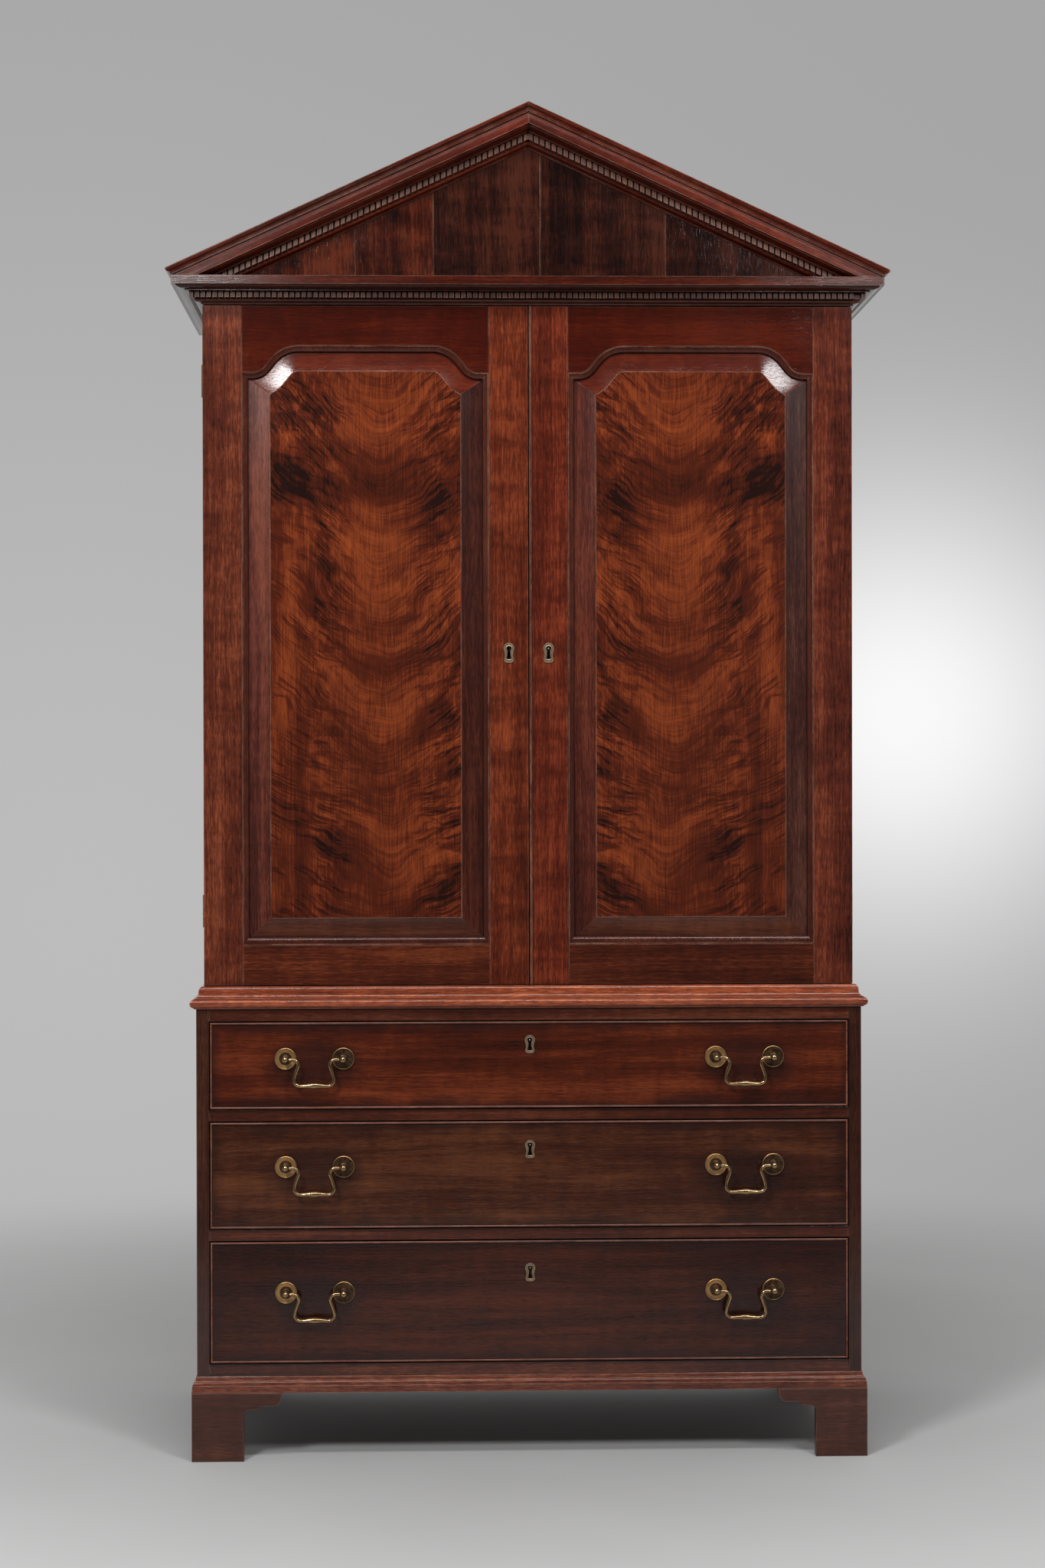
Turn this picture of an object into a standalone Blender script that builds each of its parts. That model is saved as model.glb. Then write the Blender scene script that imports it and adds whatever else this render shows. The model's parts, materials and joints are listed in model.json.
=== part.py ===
"""Georgian mahogany linen press: a pedimented two-door cupboard on a chest of three drawers.

Metres, +Z up, the front facing -Y, the origin on the floor under the middle of the press.
Every piece is its own object. Doors, drawers and bail handles hang from empties on their axes.
"""

import math

import bmesh
import bpy
from mathutils import Matrix, Vector

# Clearances
SEAT_GAP = 0.0003
DOOR_GAP = 0.0015
DRAWER_GAP = 0.0015
CUT_OVERRUN = 0.004

# Carcases
UPPER_WIDTH = 1.128
LOWER_STEP = 0.013
LOWER_DEPTH = 0.560
SIDE_THICKNESS = 0.022
BACK_THICKNESS = 0.012
UPPER_BOARD_THICKNESS = 0.019
SHELF_THICKNESS = 0.018
SHELF_COUNT = 3
SHELF_HOUSING_DEPTH = 0.008
SHELF_SETBACK = 0.020

# Heights of the lower chest, from the floor
FOOT_HEIGHT = 0.118
BASE_MOULDING_HEIGHT = 0.028
BOTTOM_RAIL_HEIGHT = 0.0215
DIVIDER_THICKNESS = 0.020
TOP_RAIL_HEIGHT = 0.0215
DRAWER_HEIGHTS = (0.150, 0.184, 0.2095)
BOTTOM_RAIL_DEPTH = 0.040
BOTTOM_BOARD_THICKNESS = 0.018

# Bracket feet
FOOT_PROJECTION = 0.009
FOOT_BOARD_THICKNESS = 0.020
FOOT_LEG_WIDTH = 0.090
FOOT_BRACKET_WIDTH = 0.156
FOOT_CURL_HEIGHT = 0.0225
FOOT_CURL_WIDTH = 0.012
FOOT_STEP_HEIGHT = 0.0066
FOOT_STEP_WIDTH = 0.006
FOOT_NOSE_WIDTH = 0.015
FOOT_COVE_SIZE = 0.010
FOOT_COVE_DROP = 0.0068
FOOT_BLOCK_SIZE = 0.045

# Base moulding
BASE_FASCIA_HEIGHT = 0.0125
BASE_FASCIA_PROJECTION = 0.0082
BASE_FILLET_HEIGHT = 0.0022
BASE_FILLET_PROJECTION = 0.0018

# Waist moulding
WAIST_HEIGHT = 0.0385
WAIST_TOP_FLAT = 0.003
WAIST_OVOLO_PROJECTION = 0.0095
WAIST_OVOLO_HEIGHT = 0.0095
WAIST_COVE_PROJECTION = 0.0172
WAIST_COVE_HEIGHT = 0.0113
WAIST_BEAD_RADIUS = 0.0068

# Drawers
DRAWER_FRONT_THICKNESS = 0.022
COCK_BEAD_WIDTH = 0.0045
COCK_BEAD_PROJECTION = 0.003
COCK_BEAD_ROUNDING = 0.0012
DRAWER_SIDE_THICKNESS = 0.010
DRAWER_BOTTOM_THICKNESS = 0.008
DRAWER_BOTTOM_RISE = 0.005
DRAWER_SIDE_DROP = 0.006
DRAWER_RUNNING_GAP = 0.0005
DRAWER_BACK_CLEARANCE = 0.020

# Bail handles
HANDLE_OFFSET = 0.373
HANDLE_SPAN = 0.100
HANDLE_RISE_SHARE = 0.58
ROSE_RADIUS = 0.019
ROSE_THICKNESS = 0.0035
ROSE_DISH_RADIUS = 0.012
ROSE_DISH_DEPTH = 0.0018
POST_NECK_RADIUS = 0.0038
POST_BALL_RADIUS = 0.0062
POST_REACH = 0.021
BAIL_WIRE_RADIUS = 0.0026
BAIL_GRIP_RADIUS = 0.0050
BAIL_PIN_RADIUS = 0.0019
BAIL_PIN_CLEARANCE = 0.0004
BAIL_PIN_LENGTH = 0.0045
BAIL_DROP = 0.0465
BAIL_SHOULDER_INSET = 0.0235
BAIL_SHOULDER_DROP = 0.008
BAIL_WAIST_INSET = 0.0245
BAIL_BELLY_INSET = 0.0155
BAIL_BELLY_DROP = 0.0300
BAIL_CORNER_INSET = 0.0190
BAIL_CORNER_DROP = 0.0420

# Locks and escutcheons
ESCUTCHEON_THICKNESS = 0.0012
DOOR_ESCUTCHEON_SIZE = (0.0186, 0.0350)
DRAWER_ESCUTCHEON_SIZE = (0.0177, 0.032)
ESCUTCHEON_WAIST_SHARE = 0.86
KEYHOLE_TUBE_RADIUS = 0.0062
KEYHOLE_HEAD_RADIUS = 0.0035
KEYHOLE_SLOT_WIDTH = 0.0040
KEYHOLE_SLOT_DROP = 0.0048
DRAWER_LOCK_SIZE = (0.060, 0.045)
DOOR_LOCK_SIZE = (0.044, 0.070)
LOCK_DEPTH = 0.011
DRAWER_LOCK_ABOVE_SHARE = 0.16
DOOR_LOCK_ABOVE_SHARE = 0.42
DOOR_LOCK_RISE = 0.5762
DRAWER_LOCK_RISE_SHARE = 0.735

# Doors
DOOR_HEIGHT = 1.1775
DOOR_THICKNESS = 0.024
DOOR_BACK_GAP = 0.001
STILE_WIDTH = 0.0675
DOOR_BOTTOM_RAIL = 0.069
DOOR_TOP_RAIL_MIDDLE = 0.0685
DOOR_SHOULDER_DROP = 0.0470
DOOR_SHOULDER_FLAT = 0.0182
DOOR_SHOULDER_SLOPE = math.radians(51)
DOOR_SHOULDER_LOW_RADIUS = 0.0266
DOOR_SHOULDER_HIGH_RADIUS = 0.0612
ASTRAGAL_WIDTH = 0.0055
ASTRAGAL_THICKNESS = 0.0028

# Door panels, depths counted back from the door's face
PANEL_TONGUE_DEPTH = 0.011
PANEL_TONGUE_THICKNESS = 0.006
PANEL_TONGUE_REACH = 0.007
PANEL_GROOVE_CLEARANCE = 0.001
PANEL_FIELD_DEPTH = 0.0025
PANEL_FIELD_STEP = 0.0015
PANEL_BEVEL_SIDE = 0.0374
PANEL_BEVEL_RAIL = 0.033
PANEL_MOULDING_WIDTH = 0.0106
PANEL_MOULDING_BOTTOM_WIDTH = 0.0135
PANEL_MOULDING_SETBACK = 0.0005
PANEL_MOULDING_LIP_SHARE = 0.16
PANEL_MOULDING_QUIRK_SHARE = 0.20
PANEL_MOULDING_FOOT_SHARE = 0.22

# Door hinges
HINGE_LENGTH = 0.057
HINGE_KNUCKLE_RADIUS = 0.0038
HINGE_KNUCKLE_GAP = 0.0006
HINGE_END_DISTANCE = 0.128

# Horizontal cornice, heights from the bottom up and projections from the door face
BED_HEIGHT = 0.0094
BED_PROJECTION = 0.013
BED_FILLET_HEIGHT = 0.0015
BED_COVE_PROJECTION = 0.0055
BED_COVE_HEIGHT = 0.0033
BED_FOOT_PROJECTION = 0.002
DENTIL_BAND_HEIGHT = 0.0109
DENTIL_BACK_PROJECTION = 0.012
DENTIL_FILLET_PROJECTION = 0.028
DENTIL_FILLET_HEIGHT = 0.0027
SOFFIT_OVOLO_PROJECTION = 0.043
SOFFIT_OVOLO_HEIGHT = 0.0051
CORONA_PROJECTION = 0.050
CORONA_HEIGHT = 0.0151
CORNICE_BEARING = 0.022

# Dentils
DENTIL_STRIP_THICKNESS = 0.003
DENTIL_PROJECTION = 0.0213
DENTIL_PITCH = 0.0102
DENTIL_GAP = 0.0028

# Pediment
RAKE_ANGLE = math.radians(24.74)
CYMA_PROJECTION = 0.059
CYMA_TOP_FILLET = 0.002
CYMA_HEIGHT = 0.0103
CYMA_BASE_PROJECTION = 0.0523
CYMA_FILLET_PROJECTION = 0.051
CYMA_FILLET_HEIGHT = 0.0029
RAKE_HOLLOW_HEIGHT = 0.007
RAKE_HOLLOW_DEPTH = 0.002
RAKE_CORONA_HEIGHT = 0.0132
RAKE_SOFFIT_HEIGHT = 0.0069
RAKE_FILLET_HEIGHT = 0.0032
RAKE_DENTIL_BAND = 0.0119
RAKE_BED_HEIGHT = 0.0118
RAKE_BED_FILLET_HEIGHT = 0.0033
RETURN_CYMA_HEIGHT = 0.0064
RETURN_FILLET_HEIGHT = 0.0021
TYMPANUM_THICKNESS = 0.018

# Facets
ARC_STEPS = 4
OPENING_ARC_STEPS = 5
KEYHOLE_STEPS = 6
BALL_STEPS = 4
KNUCKLE_SIDES = 10
POST_SIDES = 10
BORE_SIDES = 8
BAIL_BEVEL_RESOLUTION = 1

# Derived places
UPPER_HALF = UPPER_WIDTH / 2
LOWER_HALF = UPPER_HALF + LOWER_STEP
LOWER_FRONT_TO_CYMA = CYMA_PROJECTION - LOWER_STEP
BACK_Y = (LOWER_DEPTH + LOWER_FRONT_TO_CYMA) / 2
LOWER_FRONT_Y = BACK_Y - LOWER_DEPTH
DOOR_FACE_Y = LOWER_FRONT_Y + LOWER_STEP
CARCASE_FRONT_Y = DOOR_FACE_Y + DOOR_THICKNESS + DOOR_BACK_GAP
INNER_BACK_Y = BACK_Y - BACK_THICKNESS - SEAT_GAP
LOWER_INNER_HALF = LOWER_HALF - SIDE_THICKNESS
UPPER_INNER_HALF = UPPER_HALF - SIDE_THICKNESS

BOTTOM_RAIL_TOP = FOOT_HEIGHT + BASE_MOULDING_HEIGHT + BOTTOM_RAIL_HEIGHT
LOWER_TOP = (
    BOTTOM_RAIL_TOP + sum(DRAWER_HEIGHTS) + 2 * len(DRAWER_HEIGHTS) * DRAWER_GAP
    + (len(DRAWER_HEIGHTS) - 1) * DIVIDER_THICKNESS + TOP_RAIL_HEIGHT
)
WAIST_TOP = LOWER_TOP + WAIST_HEIGHT
DOOR_BOTTOM = WAIST_TOP + DOOR_GAP
DOOR_TOP = DOOR_BOTTOM + DOOR_HEIGHT
UPPER_TOP = DOOR_TOP + DOOR_GAP
CORNICE_HEIGHT = (
    BED_HEIGHT + DENTIL_BAND_HEIGHT + DENTIL_FILLET_HEIGHT + SOFFIT_OVOLO_HEIGHT + CORONA_HEIGHT
)
CORNICE_TOP = UPPER_TOP + CORNICE_HEIGHT
CORNER_TIP_Z = CORNICE_TOP + RETURN_FILLET_HEIGHT + RETURN_CYMA_HEIGHT + CYMA_TOP_FILLET
APEX_Z = CORNER_TIP_Z + (UPPER_HALF + CYMA_PROJECTION) * math.tan(RAKE_ANGLE)

DOOR_WIDTH = UPPER_HALF - DOOR_GAP / 2
OPENING_HALF = DOOR_WIDTH / 2 - STILE_WIDTH
SHOULDER_RADII = DOOR_SHOULDER_LOW_RADIUS + DOOR_SHOULDER_HIGH_RADIUS
SHOULDER_STRAIGHT_RISE = DOOR_SHOULDER_DROP - SHOULDER_RADII * (1 - math.cos(DOOR_SHOULDER_SLOPE))
SHOULDER_RUN = (
    SHOULDER_RADII * math.sin(DOOR_SHOULDER_SLOPE)
    + SHOULDER_STRAIGHT_RISE / math.tan(DOOR_SHOULDER_SLOPE)
)


# Scene, materials and objects

def clear_scene():
    for item in list(bpy.data.objects):
        bpy.data.objects.remove(item, do_unlink=True)


def new_collection(name):
    group = bpy.data.collections.new(name)
    bpy.context.scene.collection.children.link(group)
    return group


def make_material(name, colour, roughness, metallic):
    material = bpy.data.materials.new(name)
    material.use_nodes = True
    shader = material.node_tree.nodes["Principled BSDF"]
    shader.inputs["Base Color"].default_value = (*colour, 1.0)
    shader.inputs["Roughness"].default_value = roughness
    shader.inputs["Metallic"].default_value = metallic
    return material


def make_empty(name, location):
    empty = bpy.data.objects.new(name, None)
    empty.location = location
    PARTS.objects.link(empty)
    return empty


def place(item, origin, parent=None):
    """Set the object's own location, counted from its parent empty where it has one."""
    item.location = Vector(origin)
    if parent is not None:
        item.parent = parent
        item.location = Vector(origin) - parent.location


def object_from_bmesh(name, bm, material, origin=(0.0, 0.0, 0.0), parent=None, group=None):
    """Make an object of a bmesh drawn in world coordinates, with its origin where asked."""
    bmesh.ops.remove_doubles(bm, verts=bm.verts, dist=SEAT_GAP / 100)
    bmesh.ops.recalc_face_normals(bm, faces=bm.faces)
    bmesh.ops.translate(bm, vec=-Vector(origin), verts=bm.verts)
    mesh = bpy.data.meshes.new(name)
    bm.to_mesh(mesh)
    bm.free()
    item = bpy.data.objects.new(name, mesh)
    (group or PARTS).objects.link(item)
    item.data.materials.append(material)
    place(item, origin, parent)
    return item


def box_bmesh(low, high, bm=None):
    """Add a box between two corners to a bmesh."""
    bm = bm or bmesh.new()
    low, high = Vector(low), Vector(high)
    size = high - low
    matrix = Matrix.Translation((low + high) / 2) @ Matrix.Diagonal((*size, 1.0))
    bmesh.ops.create_cube(bm, size=1.0, matrix=matrix)
    return bm


def board(name, low, high, material, parent=None):
    """A plain board between two corners, with its origin at its middle."""
    middle = (Vector(low) + Vector(high)) / 2
    return object_from_bmesh(name, box_bmesh(low, high), material, middle, parent)


def outline_bmesh(points, thickness):
    """A flat outline in X and Y, extruded to both sides of its own plane."""
    bm = bmesh.new()
    face = bm.faces.new([bm.verts.new((x, y, -thickness / 2)) for x, y in points])
    made = bmesh.ops.extrude_face_region(bm, geom=[face])["geom"]
    verts = [item for item in made if isinstance(item, bmesh.types.BMVert)]
    bmesh.ops.translate(bm, vec=(0.0, 0.0, thickness), verts=verts)
    bmesh.ops.remove_doubles(bm, verts=bm.verts, dist=SEAT_GAP / 100)
    return bm


def stand_up(bm, y_middle):
    """Turn an outline drawn in X and Y so that its Y points up, its thickness about y_middle."""
    turn = Matrix.Rotation(math.radians(90), 4, "X")
    bmesh.ops.transform(bm, matrix=Matrix.Translation((0.0, y_middle, 0.0)) @ turn, verts=bm.verts)
    return bm


def add_boolean(item, tool, operation):
    modifier = item.modifiers.new(tool.name, "BOOLEAN")
    modifier.operation = operation
    modifier.solver = "EXACT"
    modifier.object = tool


def make_tool(name, bm):
    """A hidden solid that other pieces are cut with or joined to."""
    tool = object_from_bmesh(name, bm, MATERIALS["brass"], group=TOOLS)
    tool.display_type = "WIRE"
    tool.hide_render = True
    return tool


def cylinder_bmesh(radius, start, end, sides, bm=None):
    """Add a capped cylinder between two points to a bmesh."""
    bm = bm or bmesh.new()
    start, end = Vector(start), Vector(end)
    axis = end - start
    turn = axis.to_track_quat("Z", "Y").to_matrix().to_4x4()
    matrix = Matrix.Translation((start + end) / 2) @ turn
    bmesh.ops.create_cone(
        bm, cap_ends=True, segments=sides, radius1=radius, radius2=radius,
        depth=axis.length, matrix=matrix,
    )
    return bm


# Section curves

def quarter(start, end, leave_first):
    """A quarter ellipse from start to end. It leaves along the first axis or the second."""
    points = []
    for step in range(ARC_STEPS + 1):
        angle = math.radians(90) * step / ARC_STEPS
        slow, fast = 1 - math.cos(angle), math.sin(angle)
        first, second = (fast, slow) if leave_first else (slow, fast)
        points.append((
            start[0] + (end[0] - start[0]) * first,
            start[1] + (end[1] - start[1]) * second,
        ))
    return points


def double_curve(start, end, leave_first):
    """An ogee of two quarters, leaving start and reaching end along the same axis."""
    middle = ((start[0] + end[0]) / 2, (start[1] + end[1]) / 2)
    return quarter(start, middle, leave_first) + quarter(middle, end, not leave_first)[1:]


def sweep(name, section, stations, material, parent=None):
    """Draw the section at the first station and extrude it to each later one."""
    bm = bmesh.new()
    number = bm.verts.layers.int.new("section_point")
    verts = [bm.verts.new(stations[0](point)) for point in section]
    for index, vert in enumerate(verts):
        vert[number] = index
    face = bm.faces.new(verts)
    for station in stations[1:]:
        made = bmesh.ops.extrude_face_region(bm, geom=[face, *face.edges])["geom"]
        for vert in made:
            if isinstance(vert, bmesh.types.BMVert):
                vert.co = station(section[vert[number]])
        face = next(item for item in made if isinstance(item, bmesh.types.BMFace))
    return object_from_bmesh(name, bm, material, parent=parent)


def slice_off(item, point, normal):
    """Cut the object's mesh by a plane, drop the side that the normal points to and cap it."""
    bm = bmesh.new()
    bm.from_mesh(item.data)
    geometry = bm.verts[:] + bm.edges[:] + bm.faces[:]
    bmesh.ops.bisect_plane(
        bm, geom=geometry, plane_co=point, plane_no=normal, clear_outer=True, dist=SEAT_GAP / 1000
    )
    rim = [edge for edge in bm.edges if edge.is_boundary]
    bmesh.ops.holes_fill(bm, edges=rim, sides=0)
    bmesh.ops.recalc_face_normals(bm, faces=bm.faces)
    bm.to_mesh(item.data)
    bm.free()


def round_the_case(half_width, front_y, back_y):
    """Four stations of a moulding that runs round three sides, mitred at the front corners.

    A section point is (side projection, front projection, height).
    """
    return [
        lambda p: Vector((-half_width - p[0], back_y, p[2])),
        lambda p: Vector((-half_width - p[0], front_y - p[1], p[2])),
        lambda p: Vector((half_width + p[0], front_y - p[1], p[2])),
        lambda p: Vector((half_width + p[0], back_y, p[2])),
    ]


def same_all_round(section):
    return [(projection, projection, height) for projection, height in section]


# Lower chest

def foot_outline():
    """A bracket foot from its outer corner inwards: leg, cove, step, nose and curled end."""
    arch_top = FOOT_HEIGHT - FOOT_CURL_HEIGHT
    step_low = arch_top - FOOT_STEP_HEIGHT
    cove_end = FOOT_LEG_WIDTH + FOOT_COVE_SIZE
    nose_end = cove_end + FOOT_NOSE_WIDTH
    curl_start = FOOT_BRACKET_WIDTH - FOOT_CURL_WIDTH
    points = [(0.0, 0.0), (FOOT_LEG_WIDTH, 0.0)]
    points += quarter(
        (FOOT_LEG_WIDTH, step_low - FOOT_COVE_DROP), (cove_end, step_low), leave_first=False
    )
    points += quarter((nose_end, step_low), (nose_end + FOOT_STEP_WIDTH, arch_top), False)
    points += quarter((curl_start, arch_top), (FOOT_BRACKET_WIDTH, FOOT_HEIGHT), True)
    points += [(0.0, FOOT_HEIGHT)]
    return points


def bracket_bmesh(points, along_x, side, corner):
    """One bracket board of a foot, standing on its outer plane and running in from the corner."""
    bm = stand_up(outline_bmesh(points, FOOT_BOARD_THICKNESS), FOOT_BOARD_THICKNESS / 2)
    if not along_x:
        bmesh.ops.transform(bm, matrix=Matrix(((0, 1, 0, 0), (1, 0, 0, 0), (0, 0, 1, 0), (0, 0, 0, 1))),
                            verts=bm.verts)
    flip = Matrix.Diagonal((-side, 1.0 if corner[1] < 0 else -1.0, 1.0, 1.0))
    bmesh.ops.transform(bm, matrix=Matrix.Translation(corner) @ flip, verts=bm.verts)
    bmesh.ops.recalc_face_normals(bm, faces=bm.faces)
    return bm


def make_foot(name, side, at_front):
    """Two brackets joined at the corner over a glue block; a rear foot has a plain back board."""
    outer_x = side * (LOWER_HALF + FOOT_PROJECTION)
    outer_y = LOWER_FRONT_Y - FOOT_PROJECTION if at_front else BACK_Y
    corner = (outer_x, outer_y, 0.0)
    inward = 1.0 if at_front else -1.0
    foot = object_from_bmesh(name, bracket_bmesh(foot_outline(), False, side, corner), MATERIALS["foot"])
    if at_front:
        face_bm = bracket_bmesh(foot_outline(), True, side, corner)
    else:
        plain = [(0.0, 0.0), (FOOT_LEG_WIDTH, 0.0), (FOOT_LEG_WIDTH, FOOT_HEIGHT), (0.0, FOOT_HEIGHT)]
        face_bm = bracket_bmesh(plain, True, side, corner)
    near = FOOT_BOARD_THICKNESS / 2
    far = FOOT_BOARD_THICKNESS + FOOT_BLOCK_SIZE
    xs = sorted((outer_x - side * near, outer_x - side * far))
    ys = sorted((outer_y + inward * near, outer_y + inward * far))
    add_boolean(foot, make_tool(name + "_face_board", face_bm), "UNION")
    block = box_bmesh((xs[0], ys[0], 0.0), (xs[1], ys[1], FOOT_HEIGHT))
    add_boolean(foot, make_tool(name + "_block", block), "UNION")
    return foot


def make_base_moulding():
    low = FOOT_HEIGHT + SEAT_GAP
    high = FOOT_HEIGHT + BASE_MOULDING_HEIGHT
    section = [(SEAT_GAP, low), (FOOT_PROJECTION, low)]
    section += [(BASE_FASCIA_PROJECTION, FOOT_HEIGHT + BASE_FASCIA_HEIGHT)]
    section += double_curve(
        (BASE_FASCIA_PROJECTION - BASE_FILLET_HEIGHT / 2, FOOT_HEIGHT + BASE_FASCIA_HEIGHT),
        (BASE_FILLET_PROJECTION, high - BASE_FILLET_HEIGHT), leave_first=False,
    )
    section += [(BASE_FILLET_PROJECTION, high), (SEAT_GAP, high)]
    stations = round_the_case(LOWER_HALF, LOWER_FRONT_Y, BACK_Y)
    sweep("base_moulding", same_all_round(section), stations, MATERIALS["moulding"])


def make_lower_carcase():
    wood, lining = MATERIALS["case"], MATERIALS["lining"]
    foot_top = FOOT_HEIGHT + SEAT_GAP
    inner = LOWER_INNER_HALF - SEAT_GAP
    for side, name in ((-1, "lower_side_left"), (1, "lower_side_right")):
        xs = sorted((side * LOWER_HALF, side * LOWER_INNER_HALF))
        board(name, (xs[0], LOWER_FRONT_Y, foot_top), (xs[1], BACK_Y, LOWER_TOP), wood)
    board("lower_back", (-inner, BACK_Y - BACK_THICKNESS, foot_top), (inner, BACK_Y, LOWER_TOP), lining)
    make_lower_bottom(inner, foot_top)
    divider_z = BOTTOM_RAIL_TOP
    names = ("drawer_divider_lower", "drawer_divider_upper")
    for name, height in zip(names, reversed(DRAWER_HEIGHTS)):
        divider_z += height + 2 * DRAWER_GAP
        board(name, (-inner, LOWER_FRONT_Y, divider_z),
              (inner, INNER_BACK_Y, divider_z + DIVIDER_THICKNESS), wood)
        divider_z += DIVIDER_THICKNESS
    board("lower_top", (-inner, LOWER_FRONT_Y, LOWER_TOP - TOP_RAIL_HEIGHT),
          (inner, INNER_BACK_Y, LOWER_TOP), wood)


def make_lower_bottom(inner, foot_top):
    """The bottom board with the deeper front rail that the base moulding is planted on."""
    under_board = BOTTOM_RAIL_TOP - BOTTOM_BOARD_THICKNESS
    section = [
        (LOWER_FRONT_Y, foot_top),
        (LOWER_FRONT_Y + BOTTOM_RAIL_DEPTH, foot_top),
        (LOWER_FRONT_Y + BOTTOM_RAIL_DEPTH, under_board),
        (INNER_BACK_Y, under_board),
        (INNER_BACK_Y, BOTTOM_RAIL_TOP),
        (LOWER_FRONT_Y, BOTTOM_RAIL_TOP),
    ]
    stations = [lambda p: Vector((-inner, *p)), lambda p: Vector((inner, *p))]
    sweep("lower_bottom", section, stations, MATERIALS["case"])


def make_waist_moulding():
    """Ovolo, cove and bead that close the joint between the two carcases."""
    low = LOWER_TOP + SEAT_GAP
    ovolo_low = WAIST_TOP - WAIST_OVOLO_HEIGHT
    cove_low = ovolo_low - WAIST_COVE_HEIGHT
    bead_middle = LOWER_TOP + WAIST_BEAD_RADIUS + SEAT_GAP
    section = [(WAIST_TOP_FLAT, WAIST_TOP)]
    section += quarter((WAIST_TOP_FLAT, WAIST_TOP), (WAIST_OVOLO_PROJECTION, ovolo_low), True)[1:]
    section += quarter((WAIST_OVOLO_PROJECTION, ovolo_low), (WAIST_COVE_PROJECTION, cove_low), False)[1:]
    bead_top = (WAIST_COVE_PROJECTION, bead_middle + WAIST_BEAD_RADIUS)
    bead_out = (WAIST_COVE_PROJECTION + WAIST_BEAD_RADIUS, bead_middle)
    section += quarter(bead_top, bead_out, True)
    section += quarter(bead_out, (WAIST_COVE_PROJECTION, low), False)[1:]
    section = same_all_round(section)
    behind = DOOR_THICKNESS + DOOR_BACK_GAP - SEAT_GAP
    section = [(SEAT_GAP, -behind, WAIST_TOP)] + section + [(SEAT_GAP, -behind, low)]
    stations = round_the_case(UPPER_HALF, DOOR_FACE_Y, BACK_Y)
    sweep("waist_moulding", section, stations, MATERIALS["moulding"])


# Upper cupboard

def shelf_heights():
    floor = LOWER_TOP + SEAT_GAP + UPPER_BOARD_THICKNESS
    room = UPPER_TOP - UPPER_BOARD_THICKNESS - floor
    step = room / (SHELF_COUNT + 1)
    return [floor + step * (number + 1) for number in range(SHELF_COUNT)]


def make_upper_carcase():
    wood, lining = MATERIALS["case"], MATERIALS["lining"]
    low = LOWER_TOP + SEAT_GAP
    inner = UPPER_INNER_HALF - SEAT_GAP
    for side, name in ((-1, "upper_side_left"), (1, "upper_side_right")):
        xs = sorted((side * UPPER_HALF, side * UPPER_INNER_HALF))
        item = board(name, (xs[0], CARCASE_FRONT_Y, low), (xs[1], BACK_Y, UPPER_TOP), wood)
        add_boolean(item, make_tool(name + "_housings", shelf_housings(side)), "DIFFERENCE")
        cut_hinges(item, name, side, on_case=True)
    board("upper_back", (-inner, BACK_Y - BACK_THICKNESS, low), (inner, BACK_Y, UPPER_TOP), lining)
    board("upper_bottom", (-inner, CARCASE_FRONT_Y, low),
          (inner, INNER_BACK_Y, low + UPPER_BOARD_THICKNESS), lining)
    board("upper_top", (-inner, CARCASE_FRONT_Y, UPPER_TOP - UPPER_BOARD_THICKNESS),
          (inner, INNER_BACK_Y, UPPER_TOP), wood)
    reach = UPPER_INNER_HALF + SHELF_HOUSING_DEPTH - SEAT_GAP
    for number, height in enumerate(shelf_heights(), start=1):
        board(f"shelf_{number}", (-reach, CARCASE_FRONT_Y + SHELF_SETBACK, height + SEAT_GAP),
              (reach, INNER_BACK_Y, height + SEAT_GAP + SHELF_THICKNESS), lining)


def shelf_housings(side):
    """The grooves in a cupboard side that hold the shelf ends, stopped behind its front edge."""
    bm = bmesh.new()
    front = CARCASE_FRONT_Y + SHELF_SETBACK - SEAT_GAP
    xs = sorted((side * (UPPER_INNER_HALF - CUT_OVERRUN), side * (UPPER_INNER_HALF + SHELF_HOUSING_DEPTH)))
    for height in shelf_heights():
        top = height + SHELF_THICKNESS + 2 * SEAT_GAP
        box_bmesh((xs[0], front, height), (xs[1], BACK_Y + CUT_OVERRUN, top), bm)
    return bm


def hinge_axis(side):
    return side * UPPER_HALF, DOOR_FACE_Y + DOOR_THICKNESS + DOOR_BACK_GAP / 2


def hinge_starts():
    return (DOOR_BOTTOM + HINGE_END_DISTANCE - HINGE_LENGTH / 2,
            DOOR_TOP - HINGE_END_DISTANCE - HINGE_LENGTH / 2)


def cut_hinges(item, name, side, on_case):
    """Three-knuckle butt hinges: the case carries the outer knuckles and the door the middle one."""
    x, y = hinge_axis(side)
    own, other = bmesh.new(), bmesh.new()
    third = HINGE_LENGTH / 3
    for start in hinge_starts():
        for number in range(3):
            low = start + third * number
            high = low + third
            mine = (number != 1) == on_case
            if mine:
                gap = HINGE_KNUCKLE_GAP / 2
                cylinder_bmesh(HINGE_KNUCKLE_RADIUS, (x, y, low + gap), (x, y, high - gap),
                               KNUCKLE_SIDES, own)
            else:
                reach = HINGE_KNUCKLE_RADIUS + HINGE_KNUCKLE_GAP
                cylinder_bmesh(reach, (x, y, low), (x, y, high), KNUCKLE_SIDES, other)
    add_boolean(item, make_tool(name + "_hinge_recesses", other), "DIFFERENCE")
    add_boolean(item, make_tool(name + "_hinge_knuckles", own), "UNION")


# Doors

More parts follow.
